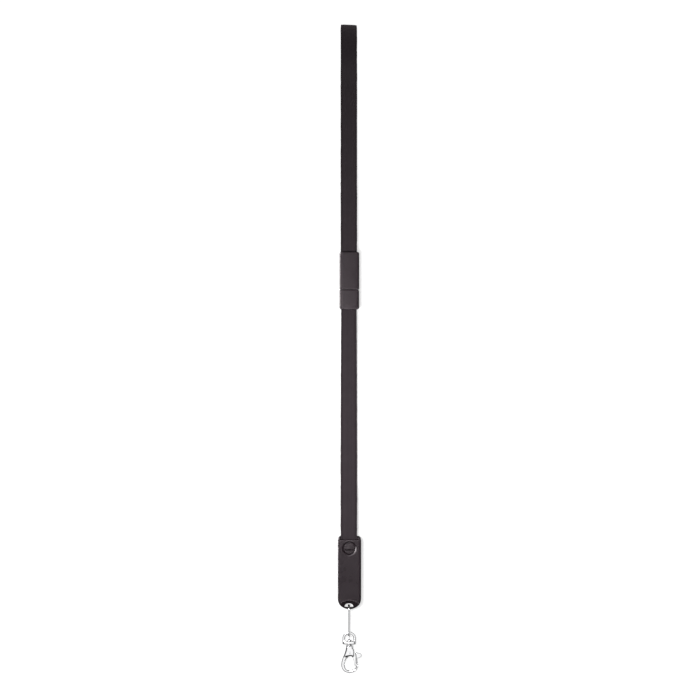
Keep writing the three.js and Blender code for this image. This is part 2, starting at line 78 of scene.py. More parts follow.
# ------------------------------------------------------------------ dimensions (as in the CAD)
STRAP_W, STRAP_T, TUBE_T = 15.0, 1.3, 1.8
X_STRAP, FOLD_Y, Z_BACK = -0.95, 295.1, 0.70
CON_X, CON_W, CON_Z0, CON_Z1, CON_ZC = -0.5, 18.0, 1.7, 10.1, 5.9
CAP_Y0, CAP_Y1, PLUG_Y0, PLUG_Y1 = 53.8, 88.0, 35.8, 53.5
HX, COVER_W, COVER_Z1, COVER_PLATE = -0.45, 21.3, 11.0, 1.7
COVER_Y1, COVER_Y0 = -172.8, -236.75
BODY_W, BODY_Z0, BODY_Z1, BODY_ZC = 20.7, 1.9, 9.1, 5.5
BODY_Y1, BODY_Y0 = -170.1, -213.5
HUB_Y, HUB_HOLE_R, HUB_BEVEL_R, HUB_R = -180.5, 5.3, 6.9, 4.75
PLUG_TIP_Y = -220.5
LINK_X, LINK_WIRE_R, LINK_R = -0.9, 1.05, 3.9
LINK_TOP, LINK_LOW = (-237.05, 5.5), (-257.55, 5.0)
HOOK_X, NECK_Y, HOOK_TILT = -0.5, -270.1, math.radians(3.2)
TILT_Y, TILT_Z = -258.4, 3.9
LEVER_PIN = (0.6, -5.9)


# ------------------------------------------------------------------ small maths
def smooth(x, a, b):
    """0 at a, 1 at b, easing in between; a may be above b."""
    t = np.clip((np.asarray(x, float) - a) / (b - a), 0, 1)
    return t * t * (3 - 2 * t)


def edge_drop(d, r, h):
    """How far a rounded edge lies under its flat face, d in from the outline."""
    t = 1 - np.clip(d / np.maximum(r, 1e-6), 0, 1)
    return h * (1 - np.sqrt(np.clip(1 - t * t, 0, 1)))


def hash_noise(x, seed, period):
    """Smooth one-dimensional noise from -1 to 1, the same on each run."""
    rng = np.random.RandomState(seed)
    table = rng.uniform(-1, 1, 4096)
    u = np.asarray(x, float) / period + 1000.5
    i = np.floor(u).astype(int)
    f = u - i
    f = f * f * (3 - 2 * f)
    return table[i % 4096] * (1 - f) + table[(i + 1) % 4096] * f


def ease(y0, z0, y1, z1, n):
    return [(y0 + (y1 - y0) * i / n, z0 + (z1 - z0) * (0.5 - 0.5 * math.cos(math.pi * i / n))) for i in range(n + 1)]


def catmull(points, per, closed=False):
    """Centripetal Catmull-Rom through 2-D points, per samples to a span."""
    p = [np.array(q, float) for q in points]
    n = len(p)
    out = []
    spans = n if closed else n - 1
    for i in range(spans):
        p1, p2 = p[i % n], p[(i + 1) % n]
        p0 = p[(i - 1) % n] if closed or i > 0 else 2 * p1 - p2
        p3 = p[(i + 2) % n] if closed or i + 2 < n else 2 * p2 - p1
        d0, d1, d2 = (max(np.linalg.norm(b - a), 1e-6) ** 0.5 for a, b in ((p0, p1), (p1, p2), (p2, p3)))
        t1 = ((p1 - p0) / d0 - (p2 - p0) / (d0 + d1) + (p2 - p1) / d1) * d1
        t2 = ((p2 - p1) / d1 - (p3 - p1) / (d1 + d2) + (p3 - p2) / d2) * d1
        for k in range(per):
            t = k / per
            out.append(
                (2 * t**3 - 3 * t**2 + 1) * p1 + (t**3 - 2 * t**2 + t) * t1 + (-2 * t**3 + 3 * t**2) * p2 + (t**3 - t**2) * t2
            )
    if not closed:
        out.append(p[-1])
    return np.array(out)


def resample(poly, step, closed=False):
    """Points at an even spacing near step along a polyline."""
    q = np.array(poly, float)
    if closed:
        q = np.vstack([q, q[:1]])
    s = np.concatenate([[0], np.cumsum(np.linalg.norm(np.diff(q, axis=0), axis=1))])
    n = max(int(round(s[-1] / step)), 3)
    t = np.linspace(0, s[-1], n + 1)
    r = np.stack([np.interp(t, s, q[:, k]) for k in range(q.shape[1])], axis=1)
    return r[:-1] if closed else r


def curved_outline(points, corners, step):
    """A closed outline through the points: smooth runs that meet sharply at the numbered corners."""
    n = len(points)
    corners = sorted(corners)
    if not corners:
        return resample(catmull(points, 12, True), step, True)
    out = []
    for a, b in zip(corners, corners[1:] + [corners[0] + n]):
        run = [points[k % n] for k in range(a, b + 1)]
        out.append(resample(catmull(run, 12), step)[:-1])
    return np.vstack(out)


def ccw(loop):
    x, y = loop[:, 0], loop[:, 1]
    area = np.sum(x * np.roll(y, -1) - np.roll(x, -1) * y)
    return loop if area > 0 else loop[::-1]


def round_rect(x0, x1, y0, y1, r_low, r_high, n=10):
    pts = []
    for cx, cy, r, a0 in (
        (x1 - r_low, y0 + r_low, r_low, -90),
        (x1 - r_high, y1 - r_high, r_high, 0),
        (x0 + r_high, y1 - r_high, r_high, 90),
        (x0 + r_low, y0 + r_low, r_low, 180),
    ):
        for k in range(n + 1):
            a = math.radians(a0 + 90 * k / n)
            pts.append((cx + r * math.cos(a), cy + r * math.sin(a)))
    return np.array(pts)


def densify(loop, step):
    """Adds points on the long straight runs of a closed loop and keeps the rest."""
    out = []
    n = len(loop)
    for i in range(n):
        a, b = loop[i], loop[(i + 1) % n]
        k = max(int(math.ceil(np.linalg.norm(b - a) / step)), 1)
        for j in range(k):
            out.append(a + (b - a) * j / k)
    return np.array(out)


def edge_field(points, loops):
    """Distance of each point from the nearest outline, and that outline's outward normal there."""
    p = np.asarray(points, float)
    best = np.full(len(p), 1e9)
    nx, ny = np.zeros(len(p)), np.zeros(len(p))
    for loop in loops:
        a, b = loop, np.roll(loop, -1, axis=0)
        e = b - a
        l2 = np.maximum((e**2).sum(1), 1e-12)
        for lo in range(0, len(p), 4000):
            q = p[lo : lo + 4000]
            t = np.clip(((q[:, None, :] - a[None]) * e[None]).sum(2) / l2[None], 0, 1)
            c = a[None] + t[:, :, None] * e[None]
            d = np.linalg.norm(q[:, None, :] - c, axis=2)
            k = d.argmin(1)
            dk = d[np.arange(len(q)), k]
            m = dk < best[lo : lo + 4000]
            idx = np.arange(lo, lo + len(q))[m]
            best[idx] = dk[m]
            length = np.sqrt(l2[k[m]])
            nx[idx] = e[k[m], 1] / length
            ny[idx] = -e[k[m], 0] / length
    return best, nx, ny


def inside(points, loops):
    p = np.asarray(points, float)
    hit = np.zeros(len(p), bool)
    for loop in loops:
        a, b = loop, np.roll(loop, -1, axis=0)
        for i in range(len(a)):
            (x0, y0), (x1, y1) = a[i], b[i]
            if y0 == y1:
                continue
            cross = (y0 > p[:, 1]) != (y1 > p[:, 1])
            hit ^= cross & (p[:, 0] < (x1 - x0) * (p[:, 1] - y0) / (y1 - y0) + x0)
    return hit


def offset_ring(loop, d):
    a, c = np.roll(loop, 1, axis=0), np.roll(loop, -1, axis=0)
    t = c - a
    t /= np.maximum(np.linalg.norm(t, axis=1), 1e-9)[:, None]
    return loop + np.stack([-t[:, 1], t[:, 0]], axis=1) * d


def plate(loops, top, bottom, rings=(), spacing=1.0, extra=(), slot=None, slot_z=(0, 0)):
    """A closed body between two height functions over a flat region, with an optional slot through its thickness.
    loops: the outline first, then holes. Returns (vertices, faces)."""
    loops = [ccw(loops[0])] + [ccw(h)[::-1] for h in loops[1:]]
    pts, edges = [], []
    for loop in loops:
        base = len(pts)
        pts += [tuple(q) for q in loop]
        edges += [(base + i, base + (i + 1) % len(loop)) for i in range(len(loop))]
    if slot is not None:
        slot = densify(np.asarray(slot, float), 0.3)
        base = len(pts)
        pts += [tuple(q) for q in slot]
        edges += [(base + i, base + (i + 1) % len(slot)) for i in range(len(slot))]
    cand = []
    for loop in loops:
        for d in rings:
            ring = offset_ring(loop, d)
            dist, _, _ = edge_field(ring, loops)
            cand.append(ring[np.abs(dist - d) < 0.02 * d + 1e-3])
    lo, hi = loops[0].min(0), loops[0].max(0)
    gx = np.arange(lo[0] + spacing / 2, hi[0], spacing)
    gy = np.arange(lo[1] + spacing / 2, hi[1], spacing)
    grid = np.array([(x + (spacing / 2 if j % 2 else 0), y) for j, y in enumerate(gy) for x in gx])
    reach = max(rings) + 0.4 * spacing if rings else 0.4 * spacing
    dist, _, _ = edge_field(grid, loops)
    cand.append(grid[dist > reach])
    for more in extra:
        cand.append(np.asarray(more, float))
    cand = np.vstack([c for c in cand if len(c)])
    cand = cand[inside(cand, loops)]
    dist, _, _ = edge_field(cand, loops)
    cand = cand[dist > 0.02]
    if slot is not None:
        dist, _, _ = edge_field(cand, [np.asarray(slot, float)])
        cand = cand[dist > 0.08]
    pts += [tuple(q) for q in cand]
    v2, _, tris, *_ = delaunay_2d_cdt(pts, edges, [], 0, 1e-5, False)
    v2 = np.array([(q[0], q[1]) for q in v2])
    tris = np.array([t for t in tris if len(t) == 3])
    centre = v2[tris].mean(1)
    keep = inside(centre, loops)
    tris, centre = tris[keep], centre[keep]
    e1, e2 = v2[tris[:, 1]] - v2[tris[:, 0]], v2[tris[:, 2]] - v2[tris[:, 0]]
    area = e1[:, 0] * e2[:, 1] - e1[:, 1] * e2[:, 0]
    tris[area < 0] = tris[area < 0][:, ::-1]
    in_slot = inside(centre, [np.asarray(slot, float)]) if slot is not None else np.zeros(len(tris), bool)
    n = len(v2)
    zt, zb = top(v2), bottom(v2)
    verts = [np.column_stack([v2, zt]), np.column_stack([v2, zb])]
    if slot is not None:
        verts += [np.column_stack([v2, np.full(n, slot_z[1])]), np.column_stack([v2, np.full(n, slot_z[0])])]
    T, B, U, L = 0, n, 2 * n, 3 * n
    faces = [(a + T, b + T, c + T) for a, b, c in tris] + [(c + B, b + B, a + B) for a, b, c in tris]
    faces += [(c + U, b + U, a + U) for a, b, c in tris[in_slot]] + [(a + L, b + L, c + L) for a, b, c in tris[in_slot]]
    owner = {}
    for k, (a, b, c) in enumerate(tris):
        for e in ((a, b), (b, c), (c, a)):
            owner[(int(e[0]), int(e[1]))] = k
    for (a, b), k in owner.items():
        other = owner.get((b, a))
        if other is None:
            if in_slot[k]:
                faces.append((a + U, b + U, b + T, a + T))
                faces.append((a + B, b + B, b + L, a + L))
            else:
                faces.append((a + B, b + B, b + T, a + T))
        elif in_slot[k] and not in_slot[other]:
            faces.append((b + L, a + L, a + U, b + U))
    verts = np.vstack(verts)
    used = np.unique(np.concatenate([np.array(f) for f in faces]))
    remap = np.full(len(verts), -1)
    remap[used] = np.arange(len(used))
    return verts[used], [tuple(int(remap[i]) for i in f) for f in faces]


def tube(path, radius, sides, closed=True, up=(1.0, 0.0, 0.0)):
    """A round tube along 3-D points. radius may be one number or one for each point."""
    p = np.asarray(path, float)
    n = len(p)
    rad = np.broadcast_to(np.asarray(radius, float), (n,))
    t = np.roll(p, -1, axis=0) - np.roll(p, 1, axis=0)
    if not closed:
        t[0], t[-1] = p[1] - p[0], p[-1] - p[-2]
    t /= np.linalg.norm(t, axis=1)[:, None]
    side = np.cross(t, np.array(up, float))
    side /= np.linalg.norm(side, axis=1)[:, None]
    other = np.cross(t, side)
    a = np.linspace(0, 2 * np.pi, sides, endpoint=False)
    verts = (p[:, None] + rad[:, None, None] * (np.cos(a)[None, :, None] * side[:, None] + np.sin(a)[None, :, None] * other[:, None])).reshape(-1, 3)
    faces = []
    for i in range(n if closed else n - 1):
        for k in range(sides):
            i2, k2 = (i + 1) % n, (k + 1) % sides
            faces.append((i * sides + k, i * sides + k2, i2 * sides + k2, i2 * sides + k))
    if not closed:
        faces.append(tuple(range(sides))[::-1])
        faces.append(tuple((n - 1) * sides + k for k in range(sides)))
    return verts, faces


def lathe(profile, sides, axis="v"):
    """A turned body from (radius, height) points, its first and last on the axis or the profile closed."""
    prof = [tuple(q) for q in profile]
    closed = prof[0] == prof[-1]
    if closed:
        prof = prof[:-1]
    verts, faces, rows = [], [], []
    for r, h in prof:
        if r < 1e-6:
            rows.append([len(verts)])
            verts.append((0.0, h, 0.0))
        else:
            row = []
            for k in range(sides):
                a = 2 * math.pi * k / sides
                row.append(len(verts))
                verts.append((r * math.cos(a), h, r * math.sin(a)))
            rows.append(row)
    m = len(rows)
    for i in range(m if closed else m - 1):
        a, b = rows[i], rows[(i + 1) % m]
        for k in range(sides):
            k2 = (k + 1) % sides
            if len(a) == 1 and len(b) == 1:
                continue
            if len(a) == 1:
                faces.append((a[0], b[k], b[k2]))
            elif len(b) == 1:
                faces.append((a[k2], a[k], b[0]))
            else:
                faces.append((a[k2], a[k], b[k], b[k2]))
    v = np.array(verts)
    if axis == "z":
        v = v[:, [0, 2, 1]]
        faces = [f[::-1] for f in faces]
    return v, faces


def merged(*parts):
    verts, faces, base = [], [], 0
    for v, f in parts:
        verts.append(np.asarray(v, float))
        faces += [tuple(i + base for i in q) for q in f]
        base += len(v)
    return np.vstack(verts), faces


def flipped_z(part, about):
    v, f = part
    v = np.array(v)
    v[:, 2] = 2 * about - v[:, 2]
    return v, [q[::-1] for q in f]


def hook_place(v):
    """From the hook's own frame (across, along, up) to the row frame."""
    v = np.asarray(v, float)
    y, z = v[:, 1] + NECK_Y - TILT_Y, v[:, 2]
    c, s = math.cos(HOOK_TILT), math.sin(HOOK_TILT)
    return np.column_stack([v[:, 0] + HOOK_X, y * c - z * s + TILT_Y, y * s + z * c + TILT_Z])


def build(name, part, material, body, stands=(), sharp=35.0, uv=None, fix=True):
    """One finished piece: mesh, material, body, finish slot and the CAD nodes that it stands for."""
    verts, faces = part
    me = bpy.data.meshes.new(name)
    me.from_pydata((np.asarray(verts, float) * MM).tolist(), [], faces)
    me.validate()
    me.update()
    for poly in me.polygons:
        poly.use_smooth = True
    if uv is not None:
        layer = me.uv_layers.new(name="cloth")
        idx = np.zeros(len(me.loops), dtype=np.int32)
        me.loops.foreach_get("vertex_index", idx)
        layer.data.foreach_set("uv", np.asarray(uv, np.float32)[idx].ravel())
    obj = bpy.data.objects.new(name, me)
    scene.collection.objects.link(obj)
    me.materials.append(material)
    if fix:
        import bmesh

        bm = bmesh.new()
        bm.from_mesh(me)
        bmesh.ops.recalc_face_normals(bm, faces=bm.faces)
        bm.to_mesh(me)
        bm.free()
    if sharp is not None:
        me.set_sharp_from_angle(angle=math.radians(sharp))
    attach(obj, body)
    if stands:
        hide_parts(*stands)
    return obj


def carve(base, cutters, keep=None):
    """base minus the cutter boxes or bodies, then only what lies inside keep. Each is (vertices, faces) in millimetres."""
    made = []

    def temp(part):
        me = bpy.data.meshes.new("tmp")
        me.from_pydata(np.asarray(part[0], float).tolist(), [], part[1])
        me.update()
        ob = bpy.data.objects.new("tmp", me)
        scene.collection.objects.link(ob)
        made.append(ob)
        return ob

    target = temp(base)
    for part, op in [(c, "DIFFERENCE") for c in cutters] + ([(keep, "INTERSECT")] if keep is not None else []):
        mod = target.modifiers.new("cut", "BOOLEAN")
        mod.operation = op
        mod.solver = "EXACT"
        mod.object = temp(part)
    bpy.context.view_layer.update()
    got = target.evaluated_get(bpy.context.evaluated_depsgraph_get()).to_mesh()
    verts = np.array([v.co[:] for v in got.vertices])
    faces = [tuple(p.vertices) for p in got.polygons]
    target.evaluated_get(bpy.context.evaluated_depsgraph_get()).to_mesh_clear()
    for ob in made:
        me = ob.data
        bpy.data.objects.remove(ob)
        bpy.data.meshes.remove(me)
    return verts, faces


def box_part(x0, x1, y0, y1, z0, z1):
    v = [(x, y, z) for z in (z0, z1) for y in (y0, y1) for x in (x0, x1)]
    f = [(0, 2, 3, 1), (4, 5, 7, 6), (0, 1, 5, 4), (2, 6, 7, 3), (0, 4, 6, 2), (1, 3, 7, 5)]
    return np.array(v, float), f


def prism_y(loop_xz, y0, y1):
    """A straight body along Y from a closed X-Z outline."""
    n = len(loop_xz)
    v = np.vstack([np.column_stack([loop_xz[:, 0], np.full(n, y), loop_xz[:, 1]]) for y in (y0, y1)])
    f = [tuple(range(n)), tuple(range(2 * n - 1, n - 1, -1))]
    f += [(i, i + n, (i + 1) % n + n, (i + 1) % n) for i in range(n)]
    return v, f


def prism_z(loop_xy, z0, z1):
    n = len(loop_xy)
    v = np.vstack([np.column_stack([loop_xy, np.full(n, z)]) for z in (z0, z1)])
    f = [tuple(range(n))[::-1], tuple(range(n, 2 * n))]
    f += [(i, (i + 1) % n, (i + 1) % n + n, i + n) for i in range(n)]
    return v, f


def circle(cx, cy, r, n):
    a = np.linspace(0, 2 * np.pi, n, endpoint=False)
    return np.column_stack([cx + r * np.cos(a), cy + r * np.sin(a)])


# ------------------------------------------------------------------ materials
class Look:
    """A material and short ways to add nodes to it."""

    def __init__(self, name, **shader):
        self.mat = bpy.data.materials.new(name)
        self.mat.use_nodes = True
        self.tree = self.mat.node_tree
        self.out = next(n for n in self.tree.nodes if n.type == "OUTPUT_MATERIAL")
        self.bsdf = next(n for n in self.tree.nodes if n.type == "BSDF_PRINCIPLED")
        for key, value in shader.items():
            self.bsdf.inputs[key.replace("_", " ")].default_value = value

    def node(self, kind, **props):
        n = self.tree.nodes.new(kind)
        for k, v in props.items():
            setattr(n, k, v)
        return n

    def put(self, socket, value):
        if isinstance(value, bpy.types.NodeSocket):
            self.tree.links.new(value, socket)
        elif value is not None:
            socket.default_value = value

    def math(self, op, a, b=None, c=None, clamp=False):
        n = self.node("ShaderNodeMath", operation=op, use_clamp=clamp)
        for s, v in zip(n.inputs, (a, b, c)):
            self.put(s, v)
        return n.outputs[0]

    def noise(self, vec, scale, detail=2.0, rough=0.5, distortion=0.0):
        n = self.node("ShaderNodeTexNoise")
        self.put(n.inputs["Vector"], vec)
        n.inputs["Scale"].default_value = scale
        n.inputs["Detail"].default_value = detail
        n.inputs["Roughness"].default_value = rough
        n.inputs["Distortion"].default_value = distortion
        return n.outputs[0]

    def span(self, value, a, b, lo, hi):
        n = self.node("ShaderNodeMapRange")
        n.clamp = True
        self.put(n.inputs["Value"], value)
        for k, v in (("From Min", a), ("From Max", b), ("To Min", lo), ("To Max", hi)):
            n.inputs[k].default_value = v
        return n.outputs["Result"]

    def tint(self, colour, factor):
        """colour times a factor socket."""
        n = self.node("ShaderNodeVectorMath", operation="SCALE")
        n.inputs[0].default_value = colour
        self.put(n.inputs["Scale"], factor)
        return n.outputs["Vector"]

    def blend(self, fac, a, b):
        n = self.node("ShaderNodeMix", data_type="RGBA")
        self.put(n.inputs["Factor"], fac)
        for s, v in zip([s for s in n.inputs if s.type == "RGBA"], (a, b)):
            if isinstance(v, tuple):
                s.default_value = (*v[:3], 1.0)
            else:
                self.put(s, v)
        return next(s for s in n.outputs if s.type == "RGBA")

    def bump(self, height, distance, strength=1.0, normal=None):
        n = self.node("ShaderNodeBump")
        n.inputs["Strength"].default_value = strength
        n.inputs["Distance"].default_value = distance
        self.put(n.inputs["Height"], height)
        if normal is not None:
            self.put(n.inputs["Normal"], normal)
        return n.outputs["Normal"]

    def coords(self):
        return self.node("ShaderNodeTexCoord").outputs["Object"]

    def split(self, vec):
        n = self.node("ShaderNodeSeparateXYZ")
        self.put(n.inputs[0], vec)
        return n.outputs

    def set(self, **sockets):
        for k, v in sockets.items():
            self.put(self.bsdf.inputs[k.replace("_", " ")], v)
        return self.mat


def webbing_look(name, colour, warp, pick, half_width, sheen):
    """Woven webbing. UVs hold millimetres: U across from the middle, V along the strap."""
    g = Look(name, Roughness=0.82, Sheen_Weight=sheen, Sheen_Roughness=0.4, Specular_IOR_Level=0.08)
    g.bsdf.inputs["Specular Tint"].default_value = (1.0, 0.86, 0.93, 1.0)
    g.bsdf.inputs["Sheen Tint"].default_value = (1.0, 0.86, 0.93, 1.0)
    uv = g.node("ShaderNodeUVMap", uv_map="cloth").outputs[0]
    u, v, _ = g.split(uv)
    col = g.math("DIVIDE", u, warp)
    col_id = g.math("FLOOR", col)
    odd = g.math("FLOORED_MODULO", col_id, 2.0)
    row = g.math("ADD", g.math("DIVIDE", v, pick), g.math("MULTIPLY", odd, 0.5))
    a = g.math("SINE", g.math("MULTIPLY", g.math("FRACT", col), math.pi))
    b = g.math("SINE", g.math("MULTIPLY", g.math("FRACT", row), math.pi))
    yarn = g.math("MULTIPLY", g.math("POWER", a, 0.55), g.math("POWER", b, 0.45))
    # twisted filaments on each yarn
    twist = g.math("SINE", g.math("ADD", g.math("MULTIPLY", u, 2 * math.pi / 0.12), g.math("MULTIPLY", v, 2 * math.pi / 0.35)))
    height = g.math("ADD", yarn, g.math("MULTIPLY", twist, 0.06))
    # selvedge: weft turns close together outside the groove
    edge = g.span(g.math("ABSOLUTE", u), half_width - 1.55, half_width - 1.15, 0.0, 1.0)
    turns = g.math("SINE", g.math("MULTIPLY", g.math("FRACT", g.math("DIVIDE", v, pick * 0.5)), math.pi))
    height_e = g.math("POWER", turns, 0.6)
    n = g.node("ShaderNodeMix", data_type="FLOAT")
    g.put(n.inputs["Factor"], edge)
    fl = [s for s in n.inputs if s.type == "VALUE" and s.name in ("A", "B")]
    g.put(fl[0], height)
    g.put(fl[1], height_e)
    height = next(s for s in n.outputs if s.type == "VALUE")
    # shade: painted shade in the yarn hollows and painted light on the yarn crowns, yarn to yarn and slow variation,
    # and a painted shade line in the groove by the selvedge
    # painted shade and light: colour darker down in the weave hollows and lighter on the yarn crowns
    hollow = g.span(height, 0.05, 0.95, 0.72, 1.12)
    wn = g.node("ShaderNodeTexWhiteNoise", noise_dimensions="1D")
    g.put(wn.inputs["W"], col_id)
    ends = g.span(wn.outputs["Value"], 0.0, 1.0, 0.94, 1.06)
    slow = g.span(g.noise(uv, 0.11, 3.0, 0.6), 0.3, 0.7, 0.94, 1.06)
    fine = g.span(g.noise(uv, 1.6, 2.0, 0.6), 0.25, 0.75, 0.95, 1.05)
    # painted shade: colour darker along the groove beside each selvedge
    groove = g.span(
        g.math("ABSOLUTE", g.math("SUBTRACT", g.math("ABSOLUTE", u), half_width - 1.4)), 0.15, 0.6, 0.62, 1.0
    )
    f = hollow
    for k in (ends, slow, fine, groove):
        f = g.math("MULTIPLY", f, k)
    worn = g.span(g.math("ABSOLUTE", u), half_width - 0.5, half_width, 0.0, 0.25)
    base = g.blend(worn, g.tint(colour, f), tuple(c * 1.7 for c in colour))
    rough = g.span(height, 0.0, 1.0, 0.92, 0.76)
    return g.set(Base_Color=base, Roughness=rough, Normal=g.bump(height, 0.00011, 0.75))


def plastic_look(name, colour, rough=0.45, grain=1.0, spec=0.10):
    """Fine spark-eroded texture of a moulded black part."""
    g = Look(name, Specular_IOR_Level=spec)
    g.bsdf.inputs["Specular Tint"].default_value = (1.0, 0.90, 0.945, 1.0)
    p = g.coords()
    fine = g.noise(p, 2600.0, 3.0, 0.65)
    mid = g.noise(p, 900.0, 2.0, 0.5)
    slow = g.noise(p, 60.0, 3.0, 0.55)
    rub = g.noise(p, 170.0, 4.0, 0.7, 0.6)
    h = g.math("ADD", g.math("MULTIPLY", fine, 0.7), g.math("MULTIPLY", mid, 0.3))
    f = g.math("MULTIPLY", g.span(slow, 0.3, 0.7, 0.94, 1.06), g.span(fine, 0.3, 0.7, 0.93, 1.07))
    worn = g.span(rub, 0.62, 0.8, 0.0, 0.22)
    base = g.blend(worn, g.tint(colour, f), tuple(c * 1.5 for c in colour))
    r = g.math("ADD", g.span(slow, 0.3, 0.7, rough - 0.03, rough + 0.04), g.span(rub, 0.55, 0.8, 0.0, -0.06))
    return g.set(Base_Color=base, Roughness=r, Normal=g.bump(h, 0.00003 * grain, 0.5))


def chrome_look(name, colour=(0.64, 0.64, 0.645), rough=0.07, wave=1.0):
    """Bright plating over a casting or drawn wire: faint waviness, hairline scratches, duller hollows."""
    g = Look(name, Metallic=1.0)
    p = g.coords()
    slow = g.noise(p, 330.0, 2.0, 0.5)
    pits = g.noise(p, 3200.0, 2.0, 0.5)
    m = g.node("ShaderNodeMapping")
    m.inputs["Scale"].default_value = (1400.0, 220.0, 1400.0)
    m.inputs["Rotation"].default_value = (0.3, 0.2, 0.5)
    g.put(m.inputs["Vector"], p)
    scratch = g.noise(m.outputs[0], 1.0, 3.0, 0.7)
    r = g.math("ADD", g.span(slow, 0.3, 0.7, rough * 0.7, rough * 1.4), g.span(scratch, 0.58, 0.72, 0.0, 0.06))
    base = g.tint(colour, g.span(pits, 0.25, 0.75, 0.97, 1.02))
    n1 = g.bump(slow, 0.00003 * wave, 0.5)
    return g.set(Base_Color=base, Roughness=r, Normal=g.bump(scratch, 0.000004, 0.4, n1))


def steel_look(name, colour=(0.62, 0.62, 0.63), rough=0.3, along=(300.0, 5200.0, 5200.0)):
    """Pressed, brushed sheet steel."""
    g = Look(name, Metallic=1.0)
    p = g.coords()
    m = g.node("ShaderNodeMapping")
    m.inputs["Scale"].default_value = along
    g.put(m.inputs["Vector"], p)
    brush = g.noise(m.outputs[0], 1.0, 3.0, 0.6)
    slow = g.noise(p, 250.0, 2.0, 0.5)
    base = g.tint(colour, g.span(brush, 0.3, 0.7, 0.93, 1.05))
    r = g.math("ADD", g.span(slow, 0.3, 0.7, rough - 0.05, rough + 0.06), g.span(brush, 0.3, 0.7, -0.03, 0.05))
    return g.set(Base_Color=base, Roughness=r, Normal=g.bump(brush, 0.000008, 0.5))


def board_look():
    """Solder mask over copper tracks."""
    g = Look("board_green", Specular_IOR_Level=0.5)
    p = g.coords()
    x, y, _ = g.split(p)
    tracks = g.math("PINGPONG", g.math("ADD", g.math("MULTIPLY", x, 1000.0), g.math("MULTIPLY", g.noise(p, 180.0, 0.0), 1.6)), 0.55)
    line = g.span(tracks, 0.36, 0.42, 0.0, 1.0)
    grain = g.span(g.noise(p, 1800.0, 2.0), 0.3, 0.7, 0.92, 1.08)
    base = g.blend(line, g.tint((0.012, 0.085, 0.035), grain), (0.03, 0.17, 0.07))
    return g.set(Base_Color=base, Roughness=g.span(grain, 0.9, 1.1, 0.3, 0.42), Normal=g.bump(line, 0.00003, 0.5))


STRAP_TINT = (0.0245, 0.0196, 0.0223)
M_WEB = webbing_look("webbing", STRAP_TINT, 0.5, 1.3, 7.5, 0.05)
M_TUBE = webbing_look("tube_webbing", (0.0252, 0.0204, 0.0232), 0.5, 1.15, 7.4, 0.05)
M_PLASTIC = plastic_look("connector_plastic", (0.0190, 0.0146, 0.0170), 0.35)
M_BODY = plastic_look("housing_plastic", (0.0110, 0.0078, 0.0094), 0.31)
M_COVER = plastic_look("cover_plastic", (0.0088, 0.0058, 0.0074), 0.29)
M_CABLE = plastic_look("cable_jacket", (0.012, 0.012, 0.013), 0.55, 1.6)
M_INSERT = plastic_look("insulator", (0.012, 0.012, 0.012), 0.5, 0.8)
M_WIRE = chrome_look("chrome_wire", rough=0.055, wave=0.6)
M_CAST = chrome_look("chrome_cast", rough=0.075)
M_STEEL = steel_look("stamped_steel")
M_SHELL = steel_look("plug_steel", (0.66, 0.66, 0.67), 0.24, (5200.0, 300.0, 5200.0))
M_GOLD = steel_look("contact_gold", (0.72, 0.50, 0.20), 0.26, (5200.0, 400.0, 5200.0))
M_SPRING = steel_look("spring_steel", (0.5, 0.5, 0.52), 0.28, (4000.0, 4000.0, 900.0))
M_BOARD = board_look()


# ------------------------------------------------------------------ straps
def follow(path_yz, step, soften=0):
    """An even, lightly smoothed centre line with its unit tangents and lengths along it."""
    q = resample(path_yz, step)
    for _ in range(soften):
        q[1:-1] = 0.25 * q[:-2] + 0.5 * q[1:-1] + 0.25 * q[2:]
    s = np.concatenate([[0], np.cumsum(np.linalg.norm(np.diff(q, axis=0), axis=1))])
    t = np.gradient(q, axis=0)
    t /= np.linalg.norm(t, axis=1)[:, None]
    return q, t, s


def sweep(q, t, s, section, width_scale, thick_scale, edge_wave, lean=None, twist=None):
    """Rings of a cloth section along the centre line. section: (across, out) in mm, for a 15 mm strap."""
    n, k = len(q), len(section)
    across, out = section[:, 0], section[:, 1]
    edge = smooth(np.abs(across), 6.6, 7.3)
    x = across[None, :] * width_scale[:, None] + np.sign(across)[None, :] * edge[None, :] * np.where(
        across[None, :] > 0, edge_wave[0][:, None], edge_wave[1][:, None]
    )
    w = out[None, :] * thick_scale[:, None]
    if twist is not None:
        w = w + across[None, :] * twist[:, None]
    y = q[:, 0][:, None] - t[:, 1][:, None] * w
    z = q[:, 1][:, None] + t[:, 0][:, None] * w
    if lean is not None:
        y = y + lean[:, None] * x
    verts = np.stack([x + X_STRAP, y, z], axis=2).reshape(-1, 3)
    uv = np.stack([np.broadcast_to(across[None, :], (n, k)), np.broadcast_to(s[:, None], (n, k))], axis=2).reshape(-1, 2)
    return verts, uv


def grid_faces(n, k, base=0, flip=False):
    i = np.arange(n - 1)[:, None]
    j = np.arange(k)[None, :]
    j2 = (j + 1) % k
    a, b, c, d = i * k + j, i * k + j2, (i + 1) * k + j2, (i + 1) * k + j
    f = np.stack([a, b, c, d] if not flip else [d, c, b, a], axis=2).reshape(-1, 4) + base
    return [tuple(int(q) for q in r) for r in f]


# flat webbing section: crowned middle, a groove, then a corded selvedge
half = [(7.5, 0.0), (7.44, 0.26), (7.26, 0.45), (6.95, 0.56), (6.6, 0.58), (6.35, 0.52), (6.12, 0.42), (5.9, 0.52),
        (5.6, 0.60), (4.6, 0.63), (3.2, 0.645), (1.6, 0.65), (0.0, 0.65)]
top = half + [(-a, b) for a, b in half[::-1][1:]]
SECTION = np.array(top + [(a, -b) for a, b in top[::-1][1:-1]])

